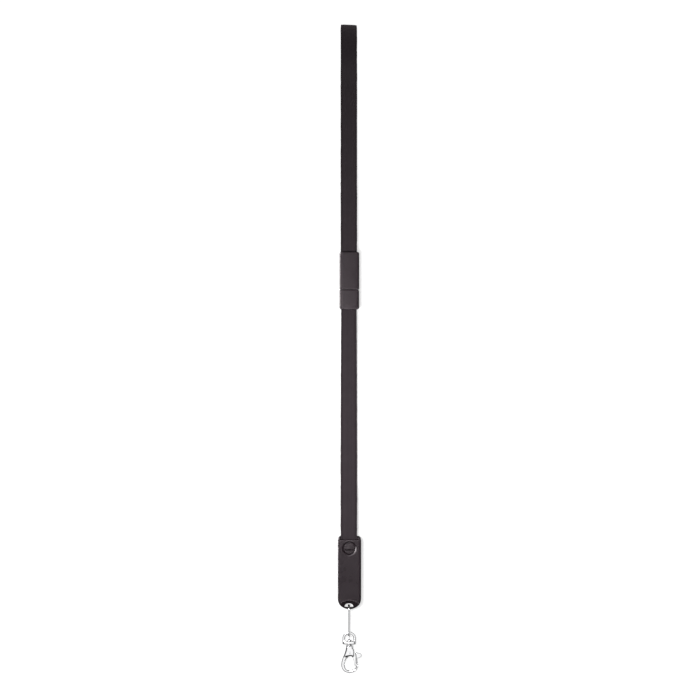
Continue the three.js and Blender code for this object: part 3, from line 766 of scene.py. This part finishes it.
# long strap: from the cap over the neck fold, back underneath and into the housing
keys = [(266, 2.75), (271, 4.1), (277, 6.5), (283, 7.95), (288.5, 7.85), (292.8, 6.3), (FOLD_Y - 0.65, 4.1), (293.2, 2.0), (290, 0.95), (285, Z_BACK)]
long_path = (
    [(84.0, CON_ZC)]
    + ease(113, CON_ZC, 200, 4.3, 24)
    + ease(206, 4.35, 236, 5.3, 14)
    + ease(238.5, 5.3, 262, 2.35, 18)
    + [tuple(p) for p in catmull(keys, 10)]
    + [(270, Z_BACK), (180, Z_BACK), (90, Z_BACK), (0, Z_BACK), (-60, Z_BACK)]
    + ease(-108, Z_BACK, -160, 4.45, 18)
    + [(-176.0, 4.45)]
)
q, t, s = follow(long_path, 0.43, 6)
fold = np.clip((q[:, 0] - 288.0) / 6.5, 0, 1)
top_side = t[:, 0] > 0
wide = np.interp(q[:, 0], [-176, -165, -128, -101, -46, -28, 8, 26, 60], [14.6, 14.7, 15.0, 15.0, 14.7, 14.6, 14.2, 13.9, 14.6]) / 15.0
wide = np.where(top_side, 1.0, np.where(q[:, 0] > 60, np.interp(q[:, 0], [60, 110, 285], [14.6, 14.75, 14.9]) / 15.0, wide))
wide = wide * (1 - 0.05 * fold**2) + 0.004 * hash_noise(s, 3, 14.0)
pick = 1.3
scallop = 0.055 * np.cos(2 * np.pi * s / pick)
wave = [scallop + 0.10 * hash_noise(s, seed, 3.4) + 0.05 * hash_noise(s, seed + 7, 9.0) for seed in (11, 12)]
thick = np.ones(len(s))
lean = -0.042 * smooth(q[:, 0], 276, 295)
verts, uv = sweep(q, t, s, SECTION, wide, thick, wave, lean)
K = len(SECTION)
faces = grid_faces(len(q), K, flip=True) + [tuple(range(K)), tuple((len(q) - 1) * K + i for i in range(K))[::-1]]
long_strap = build("neck_webbing", (verts, faces), M_WEB, "housing", ("strap_long",), sharp=None, uv=uv)

# short strap: a woven tube with the flat cable inside
half = [(7.5, 0.0), (7.45, 0.24), (7.28, 0.42), (6.95, 0.52), (6.55, 0.54), (6.3, 0.50), (6.1, 0.47), (5.85, 0.56),
        (5.5, 0.68), (5.0, 0.80), (4.2, 0.87), (2.8, 0.895), (1.4, 0.9), (0.0, 0.9)]
top = half + [(-a, b) for a, b in half[::-1][1:]]
OUTER = np.array(top + [(a, -b) for a, b in top[::-1][1:-1]])
half_i = [(5.0, 0.0), (4.95, 0.25), (4.8, 0.42), (4.4, 0.5), (3.0, 0.53), (1.5, 0.54), (0.0, 0.54)]
top_i = half_i + [(-a, b) for a, b in half_i[::-1][1:]]
INNER = np.array(top_i + [(a, -b) for a, b in top_i[::-1][1:-1]])
short_path = (
    [(42.5, CON_ZC), (31, CON_ZC)] + ease(29, CON_ZC, -24, 2.5, 24) + [(-60, 2.5)] + ease(-104, 2.5, -160, 6.25, 24) + [(-176.5, 6.25)]
)
q, t, s = follow(short_path, 0.38, 6)
wide = np.interp(q[:, 0], [-176.5, -165, -128, -101, -46, -28, 8, 26, 42.5], [14.9, 14.95, 15.2, 15.2, 14.95, 14.85, 14.5, 14.2, 14.2]) / 15.0
wide = wide + 0.004 * hash_noise(s, 5, 16.0)
scallop = 0.05 * np.cos(2 * np.pi * s / 1.15)
wave = [scallop + 0.07 * hash_noise(s, seed, 3.1) + 0.05 * hash_noise(s, seed + 7, 8.0) for seed in (31, 32)]
zero = [np.zeros(len(s))] * 2
n = len(q)
vo, uo = sweep(q, -t, s, OUTER, wide, np.ones(n), wave)
vi, ui = sweep(q, -t, s, INNER, np.ones(n), np.ones(n), zero)
ko, ki = len(OUTER), len(INNER)
faces = grid_faces(n, ko) + grid_faces(n, ki, base=n * ko, flip=True)


def rim(i, start, flip):
    """Closes the woven wall at one end of the tube with a strip between its two loops."""
    a = [i * ko + j for j in range(ko)]
    b = [n * ko + i * ki + j for j in range(ki)]
    out = []
    ia = ib = 0
    while ia < ko or ib < ki:
        if ib >= ki or (ia < ko and (ia + 1) / ko <= (ib + 1) / ki):
            f = (a[ia % ko], a[(ia + 1) % ko], b[ib % ki])
            ia += 1
        else:
            f = (a[ia % ko], b[(ib + 1) % ki], b[ib % ki])
            ib += 1
        out.append(f[::-1] if flip else f)
    return out


faces += rim(0, 0, False) + rim(n - 1, 0, True)
short_strap = build(
    "lower_webbing", (np.vstack([vo, vi]), faces), M_TUBE, "housing", ("strap_short",), sharp=None, uv=np.vstack([uo, ui])
)


# ------------------------------------------------------------------ in-line connector
def block(x0, x1, y0, y1, z0, z1, r_low, r_high, side, low_end, high_end, spacing=1.6, crown=0.0):
    """A moulded block: plan corners r_low and r_high, and (reach, depth) of its rounded side, low-Y and high-Y edges."""
    loop = densify(round_rect(x0, x1, y0, y1, r_low, r_high, 9), 1.1)
    zc = (z0 + z1) / 2
    xc, hw = (x0 + x1) / 2, (x1 - x0) / 2

    def drop(p):
        d, nx, ny = edge_field(p, [ccw(loop)])
        ws, wl, wh = nx**2, np.where(ny < 0, ny**2, 0), np.where(ny > 0, ny**2, 0)
        r = side[0] * ws + low_end[0] * wl + high_end[0] * wh
        h = side[1] * ws + low_end[1] * wl + high_end[1] * wh
        return edge_drop(d, r, h) + crown * ((p[:, 0] - xc) / hw) ** 2

    rings = [0.04, 0.12, 0.25, 0.42, 0.65, 0.95, 1.3, 1.7, 2.2, 2.7]
    rings = [r for r in rings if r <= max(side[0], low_end[0], high_end[0]) + 0.5]
    return plate([loop], lambda p: z1 - drop(p), lambda p: z0 + drop(p), rings=rings, spacing=spacing), zc


BIG = 400
cx0, cx1 = CON_X - CON_W / 2, CON_X + CON_W / 2
cap_block, _ = block(cx0, cx1, CAP_Y0, CAP_Y1, CON_Z0, CON_Z1, 1.0, 1.9, (2.5, 1.5), (0.55, 0.5), (0.9, 0.8), crown=0.22)
cap_cut = [
    box_part(CON_X - 6.6, CON_X + 6.6, CAP_Y0 - 1, 76.0, CON_ZC - 2.75, CON_ZC + 2.75),
    box_part(X_STRAP - 7.85, X_STRAP + 7.85, CAP_Y0 - 2, CAP_Y1 + 1, CON_ZC - 0.98, CON_ZC + 0.98),
    box_part(X_STRAP - 8.1, X_STRAP + 8.1, 79.0, 85.6, CON_ZC - 1.7, CON_ZC + 1.7),
]
upper = box_part(-40, 40, -BIG, BIG, CON_ZC + 0.03, 40)
lower = box_part(-40, 40, -BIG, BIG, -40, CON_ZC - 0.03)
build("connector_cap_front", carve(cap_block, cap_cut, upper), M_PLASTIC, "cap", ("cap_front_shell",), fix=False)
build("connector_cap_back", carve(cap_block, cap_cut, lower), M_PLASTIC, "cap", ("cap_back_shell",), fix=False)
plug_block, _ = block(cx0 - 0.05, cx1 - 0.1, PLUG_Y0, PLUG_Y1, CON_Z0, CON_Z1, 1.9, 1.0, (2.5, 1.5), (0.9, 0.8), (0.55, 0.5), crown=0.22)
plug_cut = [
    box_part(X_STRAP - 7.85, X_STRAP + 7.85, PLUG_Y0 - 1, 39, CON_ZC - 1.15, CON_ZC + 1.15),
    box_part(X_STRAP - 8.15, X_STRAP + 8.15, 37.6, 44.0, CON_ZC - 1.9, CON_ZC + 1.9),
    box_part(CON_X - 6.3, CON_X + 6.3, 43.0, 52.3, CON_ZC - 2.6, CON_ZC + 2.6),
    box_part(CON_X - 6.1, CON_X + 6.1, 51.0, PLUG_Y1 + 1, CON_ZC - 2.35, CON_ZC + 2.35),
]
lip_out = prism_y(round_rect(CON_X - 6.5, CON_X + 6.5, CON_ZC - 2.68, CON_ZC + 2.68, 0.5, 0.5, 4), 52.6, 54.7)
lip_in = prism_y(round_rect(CON_X - 6.06, CON_X + 6.06, CON_ZC - 2.31, CON_ZC + 2.31, 0.4, 0.4, 4), 52.0, 55.5)
lip = carve(lip_out, [lip_in])


def with_lip(keep):
    return merged(carve(plug_block, plug_cut, keep), carve(lip, [], keep))


build("connector_plug_front", with_lip(upper), M_PLASTIC, "housing", ("plug_front_shell",), fix=False)
build("connector_plug_back", with_lip(lower), M_PLASTIC, "housing", ("plug_back_shell",), fix=False)

# ------------------------------------------------------------------ lower housing
bx0, bx1 = HX - BODY_W / 2, HX + BODY_W / 2
body_block, _ = block(bx0, bx1, BODY_Y0, BODY_Y1, BODY_Z0, BODY_Z1, 1.6, 2.6, (1.2, 1.0), (0.9, 0.8), (1.9, 1.7))
PC_X, MU_X = HX - 4.7, HX + 4.75


def round_slot(x, w, h, r, y0, y1):
    loop = round_rect(x - w, x + w, BODY_ZC - h, BODY_ZC + h, r, r, 6)
    return prism_y(loop, y0, y1)


body_cut = [
    box_part(HX - 9.0, HX + 9.0, -211.9, -171.9, BODY_Z0 + 1.2, BODY_Z1 - 1.2),
    box_part(X_STRAP - 7.85, X_STRAP + 7.85, -172.9, -168, 3.6, 7.4),
    round_slot(PC_X, 4.25, 1.3, 1.25, -216, -211),
    round_slot(MU_X, 3.6, 1.05, 0.5, -216, -211),
    prism_z(circle(HX, HUB_Y, 2.65, 40), -5, 15),
]
upper = box_part(-40, 40, -BIG, BIG, BODY_ZC + 0.03, 40)
lower = box_part(-40, 40, -BIG, BIG, -40, BODY_ZC - 0.03)
notch = box_part(X_STRAP - 7.85, X_STRAP + 7.85, -172.9, -168, 3.6, 12)
build("housing_front", carve(body_block, body_cut + [notch], upper), M_BODY, "housing", ("body_front_shell",), fix=False)
build("housing_back", carve(body_block, body_cut, lower), M_BODY, "housing", ("body_back_shell",), fix=False)

# slotted pivot buttons
disc = circle(HX, HUB_Y, HUB_R, 112)
GROOVE = HUB_Y - 1.6


def button_top(p):
    d, _, _ = edge_field(p, [disc])
    groove = 1.0 * np.clip((0.55 - np.abs(p[:, 1] - GROOVE)) / 0.55, 0, 1)
    rise = 0.10 * (1 - smooth(np.hypot(p[:, 0] - HX, p[:, 1] - HUB_Y), 0.5, 4.4))
    return 10.50 - edge_drop(d, 0.22, 0.2) + rise - groove


rows = [(HX + x, GROOVE + dy) for dy in (-0.9, -0.7, -0.6, -0.55, -0.5, -0.36, -0.22, -0.1, 0, 0.1, 0.22, 0.36, 0.5, 0.55, 0.6, 0.7, 0.9) for x in np.arange(-4.7, 4.71, 0.3)]
face = plate([disc], button_top, lambda p: np.full(len(p), 9.15), rings=[0.03, 0.08, 0.15, 0.23, 0.4], spacing=0.7, extra=[rows])
stem = lathe([(0, 7.95), (2.2, 7.95), (2.55, 8.25), (2.55, 9.3), (0, 9.3)], 40, axis="z")
stem = (stem[0] + np.array([HX, HUB_Y, 0]), stem[1])
knob = merged(face, stem)
build("pivot_button_top", knob, M_BODY, "housing", ("pivot_button_front",))
build("pivot_button_under", flipped_z(knob, BODY_ZC), M_BODY, "housing", ("pivot_button_back",))

# swivel cover: two plates joined by the dished end
ER = COVER_W / 2
arc = [(HX + ER * math.cos(a), COVER_Y0 + ER + ER * math.sin(a)) for a in np.linspace(math.pi, 2 * math.pi, 73)]
corner_r = [(HX + ER - 1.6 + 1.6 * math.cos(a), COVER_Y1 - 1.6 + 1.6 * math.sin(a)) for a in np.linspace(0, math.pi / 2, 10)]
corner_l = [(HX - ER + 1.6 + 1.6 * math.cos(a), COVER_Y1 - 1.6 + 1.6 * math.sin(a)) for a in np.linspace(math.pi / 2, math.pi, 10)]
outline = densify(np.array(arc + corner_r + corner_l), 0.8)
hub_hole = circle(HX, HUB_Y, HUB_HOLE_R, 96)


def bezier2(a, b, c, n):
    u = np.linspace(0, 1, n, endpoint=False)[:, None]
    a, b, c = (np.array(v, float) for v in (a, b, c))
    return (1 - u) ** 2 * a + 2 * u * (1 - u) * b + u**2 * c


eye = np.vstack([
    bezier2((-4.1, -234.48), (-0.9, -234.48), (2.3, -234.48), 18),
    bezier2((2.3, -234.48), (3.35, -234.45), (2.95, -233.35), 8),
    bezier2((2.95, -233.35), (2.3, -230.95), (-0.9, -230.95), 14),
    bezier2((-0.9, -230.95), (-4.15, -230.95), (-4.75, -233.35), 14),
    bezier2((-4.75, -233.35), (-5.15, -234.45), (-4.1, -234.48), 8),
])
out_only = [ccw(outline)]


def cover_top(p):
    x, y = p[:, 0], p[:, 1]
    d, nx, ny = edge_field(p, out_only)
    ws, wl, wh = nx**2, np.where(ny < 0, ny**2, 0), np.where(ny > 0, ny**2, 0)
    r = 2.3 * ws + 1.9 * wl + 0.8 * wh
    h = 1.5 * ws + 1.35 * wl + 0.6 * wh
    # spherical dish, met by the flat with a soft edge
    rr = np.hypot(x - HX, y + 239.3)
    dish = 20.9 - np.sqrt(np.maximum(14.9**2 - rr**2, 1.0))
    dish = np.where(rr < 14.8, dish, 30.0)
    k = 1.1
    gap = np.clip(0.5 + 0.5 * (dish - COVER_Z1) / k, 0, 1)
    flat = dish * (1 - gap) + COVER_Z1 * gap - k * gap * (1 - gap)
    z = flat - edge_drop(d, r, h)
    # countersink round the pivot button
    hr = np.hypot(x - HX, y - HUB_Y)
    sink = 0.16 * smooth(hr, HUB_BEVEL_R + 0.15, 6.25) + 0.80 * np.clip((6.30 - hr) / (6.30 - HUB_HOLE_R), 0, 1)
    z = z - sink
    # the bar, oval in section
    tb = (y + 235.62) / 1.14
    bar = BODY_ZC + 0.05 + 1.36 * np.sqrt(np.clip(1 - tb * tb, 0, 1))
    w = smooth(np.abs(x - LINK_X), 3.9, 2.4) * smooth(y, -233.9, -234.45)
    z = z * (1 - w) + np.minimum(z, bar) * w
    # softened lip round the hole
    de, _, _ = edge_field(p, [eye])
    z = z - edge_drop(de, 0.35, 0.28) * (1 - w)
    return np.maximum(z, BODY_ZC + 0.04)


hub_rings = [circle(HX, HUB_Y, r, 96) for r in (5.42, 5.6, 5.8, 6.0, 6.15, 6.24, 6.30, 6.38, 6.55, 6.75, 6.95, 7.1, 7.35, 7.7)]
dish_pts = np.array([(x, y) for y in np.arange(-236.6, -225.0, 0.42) for x in np.arange(HX - 10.5, HX + 10.6, 0.45)])
slot_box = np.array([(-30, -222.2), (30, -222.2), (30, -150), (-30, -150)], float)
cover = plate(
    [outline, hub_hole, eye], cover_top, lambda p: 2 * BODY_ZC - cover_top(p),
    rings=[0.05, 0.14, 0.28, 0.46, 0.7, 1.0, 1.35, 1.75, 2.15, 2.55], spacing=1.35, extra=hub_rings + [dish_pts],
    slot=slot_box, slot_z=(COVER_PLATE, COVER_Z1 - COVER_PLATE),
)
build("swivel_cover_moulding", cover, M_COVER, "cover", ("swivel_cover",), sharp=32)

# ------------------------------------------------------------------ oval link
A, B = np.array(LINK_TOP), np.array(LINK_LOW)
dvec = (B - A) / np.linalg.norm(B - A)
nvec = np.array([-dvec[1], dvec[0]])
loop = []
for c, start in ((B, 0.0), (A, math.pi)):
    for a in np.linspace(start, start + math.pi, 49):
        loop.append(c + LINK_R * (math.cos(a) * nvec + math.sin(a) * dvec))
loop = resample(np.array(loop), 0.45, True)
path = np.column_stack([np.full(len(loop), LINK_X), loop])
build("chain_link", tube(path, LINK_WIRE_R, 26), M_WIRE, "link", ("oval_link",), sharp=None)


# ------------------------------------------------------------------ swivel hook
def placed(part):
    return hook_place(part[0]), part[1]


# bail
BW, BC, IW = 6.25, -0.2, 3.75
ARCH_V = 13.0 - BW
pts = [(BC - BW + 0.9, 0.95), (BC + BW - 0.9, 0.95)]
pts += [tuple(v) for v in bezier2((BC + BW - 0.9, 0.95), (BC + BW, 0.95), (BC + BW, 2.0), 6)[1:]]
pts += [(BC + BW, 2.0)]
pts += [(BC + BW * math.cos(a), ARCH_V + BW * math.sin(a)) for a in np.linspace(0, math.pi, 49)]
pts += [tuple(v) for v in bezier2((BC - BW, 2.0), (BC - BW, 0.95), (BC - BW + 0.9, 0.95), 6)]
bail_out = densify(np.array(pts), 0.35)
pts = [(BC - IW, 4.4), (BC + IW, 4.4)] + [(BC + IW * math.cos(a), ARCH_V - 0.1 + IW * math.sin(a)) for a in np.linspace(0, math.pi, 37)]
bail_in = densify(np.array(pts), 0.35)


def bail_top(p):
    d, _, _ = edge_field(p, [ccw(bail_out), ccw(bail_in)[::-1]])
    bar = smooth(p[:, 1], 5.2, 4.2) * smooth(np.abs(p[:, 0] - BC), 5.2, 4.2)
    h = 0.98 + 0.62 * bar
    return h * np.sqrt(np.clip(1 - (1 - np.clip(d / 1.1, 0, 1)) ** 2, 0, 1)) + 0.02


bail = plate([bail_out, bail_in], bail_top, lambda p: -bail_top(p), rings=[0.03, 0.09, 0.18, 0.32, 0.5, 0.75, 1.02], spacing=0.5)
build("swivel_bail", placed(bail), M_CAST, "bail", ("hook_bail",), sharp=60)

# rivet and washer
rivet = [(0, 6.35), (0.45, 6.31), (0.9, 6.18), (1.3, 5.95), (1.62, 5.62), (1.85, 5.22), (1.95, 4.9), (1.93, 4.66), (1.8, 4.55), (1.05, 4.5), (1.05, -2.6), (0, -2.6)]
build("rivet", placed(lathe(rivet, 48)), M_CAST, "claw", ("swivel_rivet",), sharp=50)
washer = [(1.2, 0.15), (2.38, 0.15), (2.5, 0.25), (2.5, 0.65), (2.38, 0.75), (1.2, 0.75), (1.2, 0.15)]
build("washer", placed(lathe(washer, 48)), M_CAST, "claw", ("swivel_washer",), sharp=40)

# claw body
arm_outer = [(-3.4, -0.0), (-3.77, -3.65), (-4.68, -6.83), (-5.86, -10.0), (-6.77, -12.74), (-7.45, -15.92), (-7.54, -18.64), (-6.86, -21.19),
             (-5.22, -23.46), (-2.86, -24.73), (0.14, -25.19), (3.14, -24.73), (5.69, -23.37), (7.41, -21.1), (8.14, -18.46), (8.05, -16.95)]
arm_inner = [(6.35, -18.0), (5.69, -19.75), (4.3, -21.37), (1.5, -22.28), (-1.5, -22.28), (-3.13, -20.92), (-4.04, -18.37), (-3.86, -15.46),
             (-2.77, -12.55), (-1.22, -10.46), (0.6, -9.64), (2.2, -9.9), (3.4, -10.6)]
head_right = [(4.5, -9.3), (4.5, -5.46), (3.87, -2.74), (3.6, 0.0)]
ring_pts = arm_outer + arm_inner + head_right
nA, nI = len(arm_outer), len(arm_inner)
claw_loop = curved_outline(ring_pts, [0, nA - 1, nA, nA + nI - 1, nA + nI, len(ring_pts) - 1], 0.28)
claw_loop = ccw(claw_loop)
top_edge = np.abs(claw_loop[:, 1]) < 0.02


def claw_top(p):
    u, v = p[:, 0], p[:, 1]
    d, nx, ny = edge_field(p, [claw_loop])
    head = smooth(v, -11.0, -8.2)
    H = 1.6 + 0.7 * head
    R = 1.35 + 1.25 * head
    neck_end = np.where((ny > 0.5) & (v > -3), 1.0, 0.0)
    R = R * (1 - neck_end) + 0.7 * neck_end
    slot = smooth(u, -2.7, -1.7) * smooth(v, -12.4, -11.7) * smooth(v, -2.2, -3.0)
    rim = 0.12 + 1.1 * slot
    t = 1 - np.clip(d / R, 0, 1)
    f = (1 - t**2.1) ** (1 / 2.1)
    return rim + (H - rim) * f


lever_slot = np.array([(-1.9, -3.6), (-1.9, -11.6), (9, -11.6), (9, -3.0), (1.2, -3.0)], float)
pin_hole = circle(LEVER_PIN[0], LEVER_PIN[1], 0.76, 28)
claw = plate([claw_loop, pin_hole], claw_top, lambda p: -claw_top(p), rings=[0.04, 0.12, 0.25, 0.42, 0.65, 0.95, 1.3, 1.75, 2.3],
             spacing=0.7, slot=lever_slot, slot_z=(-1.15, 1.15))
build("claw_casting", placed(claw), M_CAST, "claw", ("hook_body",), sharp=50)

# lever
lever_pts = [(-0.9, -4.2), (0.6, -3.6), (2.4, -4.4), (4.05, -5.9), (6.05, -6.01), (8.78, -6.46), (10.87, -7.28), (11.45, -8.74), (11.0, -10.28),
             (9.5, -11.45), (7.6, -12.1), (7.78, -14.1), (7.96, -16.3), (6.35, -17.05), (5.95, -17.4), (5.5, -19.2), (4.75, -19.2), (4.15, -16.37),
             (3.7, -13.64), (2.75, -11.2), (1.2, -8.7), (-0.9, -7.6), (-1.5, -5.9)]
tab_pts = [(6.1, -6.4), (8.6, -6.7), (10.6, -7.45), (11.2, -8.74), (10.8, -10.1), (9.4, -11.2), (7.4, -11.85), (7.6, -14.1), (7.7, -16.0), (6.4, -16.5), (6.1, -14.0), (6.15, -11.0)]
lever_loop = ccw(curved_outline(lever_pts, [3, 10, 12, 15, 16], 0.25))
tab_loop = ccw(resample(catmull(tab_pts, 8, True), 0.3, True))


def lever_shape(p, low):
    d, _, _ = edge_field(p, [lever_loop])
    dt, _, _ = edge_field(p, [tab_loop])
    w = smooth(np.where(inside(p, [tab_loop]), dt, -dt), -0.35, 0.45)
    h_thin, h_tab = (0.65, 1.45)
    h = h_thin + (h_tab - h_thin) * w
    mid = -0.3 + 0.2 * w
    rad = 0.5 + 0.75 * w
    f = np.sqrt(np.clip(1 - (1 - np.clip(d / rad, 0, 1)) ** 2, 0, 1))
    side = 0.10 + (h - 0.10) * f
    # finger hollow on the thumb tab
    hollow = 0.22 * np.exp(-(((p[:, 0] - 8.7) / 1.5) ** 2 + ((p[:, 1] + 9.0) / 1.6) ** 2))
    return mid + (-(side - hollow * 0.6) if low else side - hollow)


tab_rows = [offset_ring(tab_loop, d) for d in (-0.42, -0.28, -0.14, 0.0, 0.14, 0.28, 0.42, 0.58)]
lever = plate([lever_loop, circle(LEVER_PIN[0], LEVER_PIN[1], 0.76, 28)], lambda p: lever_shape(p, False), lambda p: lever_shape(p, True),
              rings=[0.04, 0.12, 0.25, 0.42, 0.65, 0.95], spacing=0.5, extra=tab_rows)
build("thumb_lever", placed(lever), M_CAST, "trigger", ("trigger_lever",), sharp=55)

# pin with peened ends, and the torsion spring
pin = [(0, -2.42), (0.35, -2.40), (0.6, -2.32), (0.72, -2.18), (0.7, -2.0), (0.7, 2.0), (0.72, 2.18), (0.6, 2.32), (0.35, 2.40), (0, 2.42)]
pv, pf = lathe(pin, 32, axis="z")
build("lever_pin", placed((pv + np.array([LEVER_PIN[0], LEVER_PIN[1], 0]), pf)), M_STEEL, "claw", ("trigger_pin",), sharp=50)
coil = []
for k in range(97):
    f = k / 96
    a = -0.6 + f * math.pi * 3.0
    coil.append((LEVER_PIN[0] + 1.15 * math.cos(a), LEVER_PIN[1] + 1.15 * math.sin(a), 0.6 + 0.32 * f))
sv, sf = tube(np.array(coil), 0.13, 10, closed=False, up=(0, 0, 1))
build("lever_spring", placed((sv, sf)), M_SPRING, "claw", ("trigger_spring",), sharp=None)

# ------------------------------------------------------------------ carried-over CAD nodes
KEPT = {
    "charging_cable": M_CABLE, "cap_crimp": M_STEEL, "plug_crimp": M_STEEL, "strap_crimp": M_STEEL,
    "usb_shell": M_SHELL, "usb_tongue": M_INSERT, "circuit_board": M_BOARD,
    "type_c_shell": M_SHELL, "type_c_insert": M_INSERT, "micro_b_shell": M_SHELL, "micro_b_insert": M_INSERT,
    "usb_contact_1": M_GOLD, "usb_contact_2": M_GOLD, "usb_contact_3": M_GOLD, "usb_contact_4": M_GOLD,
}
for node, material in KEPT.items():
    obj = frame["nodes"][node]
    if not obj.material_slots:
        obj.data.materials.append(material)
    for slot in obj.material_slots:
        slot.material = material

# ------------------------------------------------------------------ floor and light
me = bpy.data.meshes.new("floor")
R = 3.0
me.from_pydata([(-R, -R, -0.00003), (R, -R, -0.00003), (R, R, -0.00003), (-R, R, -0.00003)], [], [(0, 1, 2, 3)])
floor = bpy.data.objects.new("floor", me)
scene.collection.objects.link(floor)
g = Look("floor_paper", Roughness=0.9, Specular_IOR_Level=0.1)
# a lit acrylic table: glows a little more towards its far edges, where the softbox fades
g.bsdf.inputs["Emission Color"].default_value = (1, 1, 1, 1)
fx, fy, _ = g.split(g.coords())
away = g.math("SQRT", g.math("ADD", g.math("POWER", fx, 2.0), g.math("POWER", g.math("ADD", fy, 0.083), 2.0)))
g.put(g.bsdf.inputs["Emission Strength"], g.span(away, 0.05, 0.42, 0.48, 0.98))
g.set(Base_Color=g.tint((0.42, 0.42, 0.42), g.span(g.noise(g.coords(), 400.0, 2.0), 0.3, 0.7, 0.995, 1.005)))
me.materials.append(g.mat)

world = bpy.data.worlds.new("studio")
scene.world = world
world.use_nodes = True
wt = world.node_tree
bg = next(n for n in wt.nodes if n.type == "BACKGROUND")
tc = wt.nodes.new("ShaderNodeTexCoord")
sep = wt.nodes.new("ShaderNodeSeparateXYZ")
wt.links.new(tc.outputs["Generated"], sep.inputs[0])


def wspan(socket, a, b, lo, hi):
    n = wt.nodes.new("ShaderNodeMapRange")
    n.interpolation_type = "SMOOTHSTEP"
    wt.links.new(socket, n.inputs["Value"])
    for k, v in (("From Min", a), ("From Max", b), ("To Min", lo), ("To Max", hi)):
        n.inputs[k].default_value = v
    return n.outputs["Result"]


def wmul(a, b, op="MULTIPLY"):
    n = wt.nodes.new("ShaderNodeMath")
    n.operation = op
    for s, v in zip(n.inputs, (a, b)):
        if isinstance(v, (int, float)):
            s.default_value = v
        else:
            wt.links.new(v, s)
    return n.outputs[0]


# bright overhead, grey walls, and an unlit side of the room to the left and near side
# (seen in reflections; the soft fill on matt surfaces is kept lower)
X, Y, Z = sep.outputs["X"], sep.outputs["Y"], sep.outputs["Z"]
walls = wspan(Z, 0.60, 0.93, 0.17, 1.50)
towards = wmul(X, wmul(Y, 0.55), "ADD")
unlit = wmul(wspan(towards, -0.12, -0.42, 0.0, 1.0), wmul(wspan(Z, 0.02, 0.12, 0.0, 1.0), wspan(Z, 0.72, 0.52, 0.0, 1.0)))
level = wmul(walls, wmul(1.0, wmul(unlit, 0.9), "SUBTRACT"))
grey = wt.nodes.new("ShaderNodeCombineColor")
for socket in grey.inputs[:3]:
    wt.links.new(level, socket)
pale = wt.nodes.new("ShaderNodeBackground")
pale.inputs[0].default_value = (0.86, 0.86, 0.87, 1)
lp = wt.nodes.new("ShaderNodeLightPath")
mix = wt.nodes.new("ShaderNodeMixShader")
wt.links.new(grey.outputs[0], bg.inputs[0])
wt.links.new(wspan(lp.outputs["Is Diffuse Ray"], 0.0, 1.0, 1.0, 0.24), bg.inputs[1])
wt.links.new(lp.outputs["Is Camera Ray"], mix.inputs[0])
wt.links.new(bg.outputs[0], mix.inputs[1])
wt.links.new(pale.outputs[0], mix.inputs[2])
wt.links.new(mix.outputs[0], next(n for n in wt.nodes if n.type == "OUTPUT_WORLD").inputs[0])


def softbox(name, loc, aim, size, watts, spread=180.0, shows_on=None):
    data = bpy.data.lights.new(name, "AREA")
    data.shape = "RECTANGLE"
    data.size, data.size_y = size
    data.energy = watts
    data.spread = math.radians(spread)
    ob = bpy.data.objects.new(name, data)
    ob.location = loc
    d = np.array(aim, float) - np.array(loc, float)
    from mathutils import Vector

    ob.rotation_euler = Vector(d).to_track_quat("-Z", "Y").to_euler()
    # an edge strip only shows as a highlight on the matt pieces and lays no second shadow
    if shows_on:
        ob.visible_diffuse = False
        ob.light_linking.receiver_collection = shows_on
    scene.collection.objects.link(ob)
    return ob


fold_end, glossy = (bpy.data.collections.new(n) for n in ("webbing_pieces", "moulded_pieces"))
for piece in list(bpy.data.objects):
    used = [sl.material.name for sl in piece.material_slots if sl.material] if piece.type == "MESH" else []
    if any(m.name in used for m in (M_PLASTIC, M_BODY, M_COVER)):
        glossy.objects.link(piece)
    if M_WEB.name in used:
        fold_end.objects.link(piece)


softbox("key_softbox", (-0.13, -0.085, 0.47), (0.0, -0.083, 0.0), (0.20, 0.24), 1.40, spread=96)
softbox("left_strip", (-0.66, 0.10, 0.09), (0.0, 0.0, 0.0), (0.82, 0.14), 70.0, shows_on=glossy)
softbox("near_strip", (0.04, -0.72, 0.86), (0.0, -0.20, 0.0), (0.50, 0.20), 11.0, shows_on=glossy)
softbox("fold_light", (0.03, 0.85, 0.30), (0.0, 0.10, 0.0), (0.5, 0.26), 16.0, shows_on=fold_end)

bpy.context.view_layer.update()
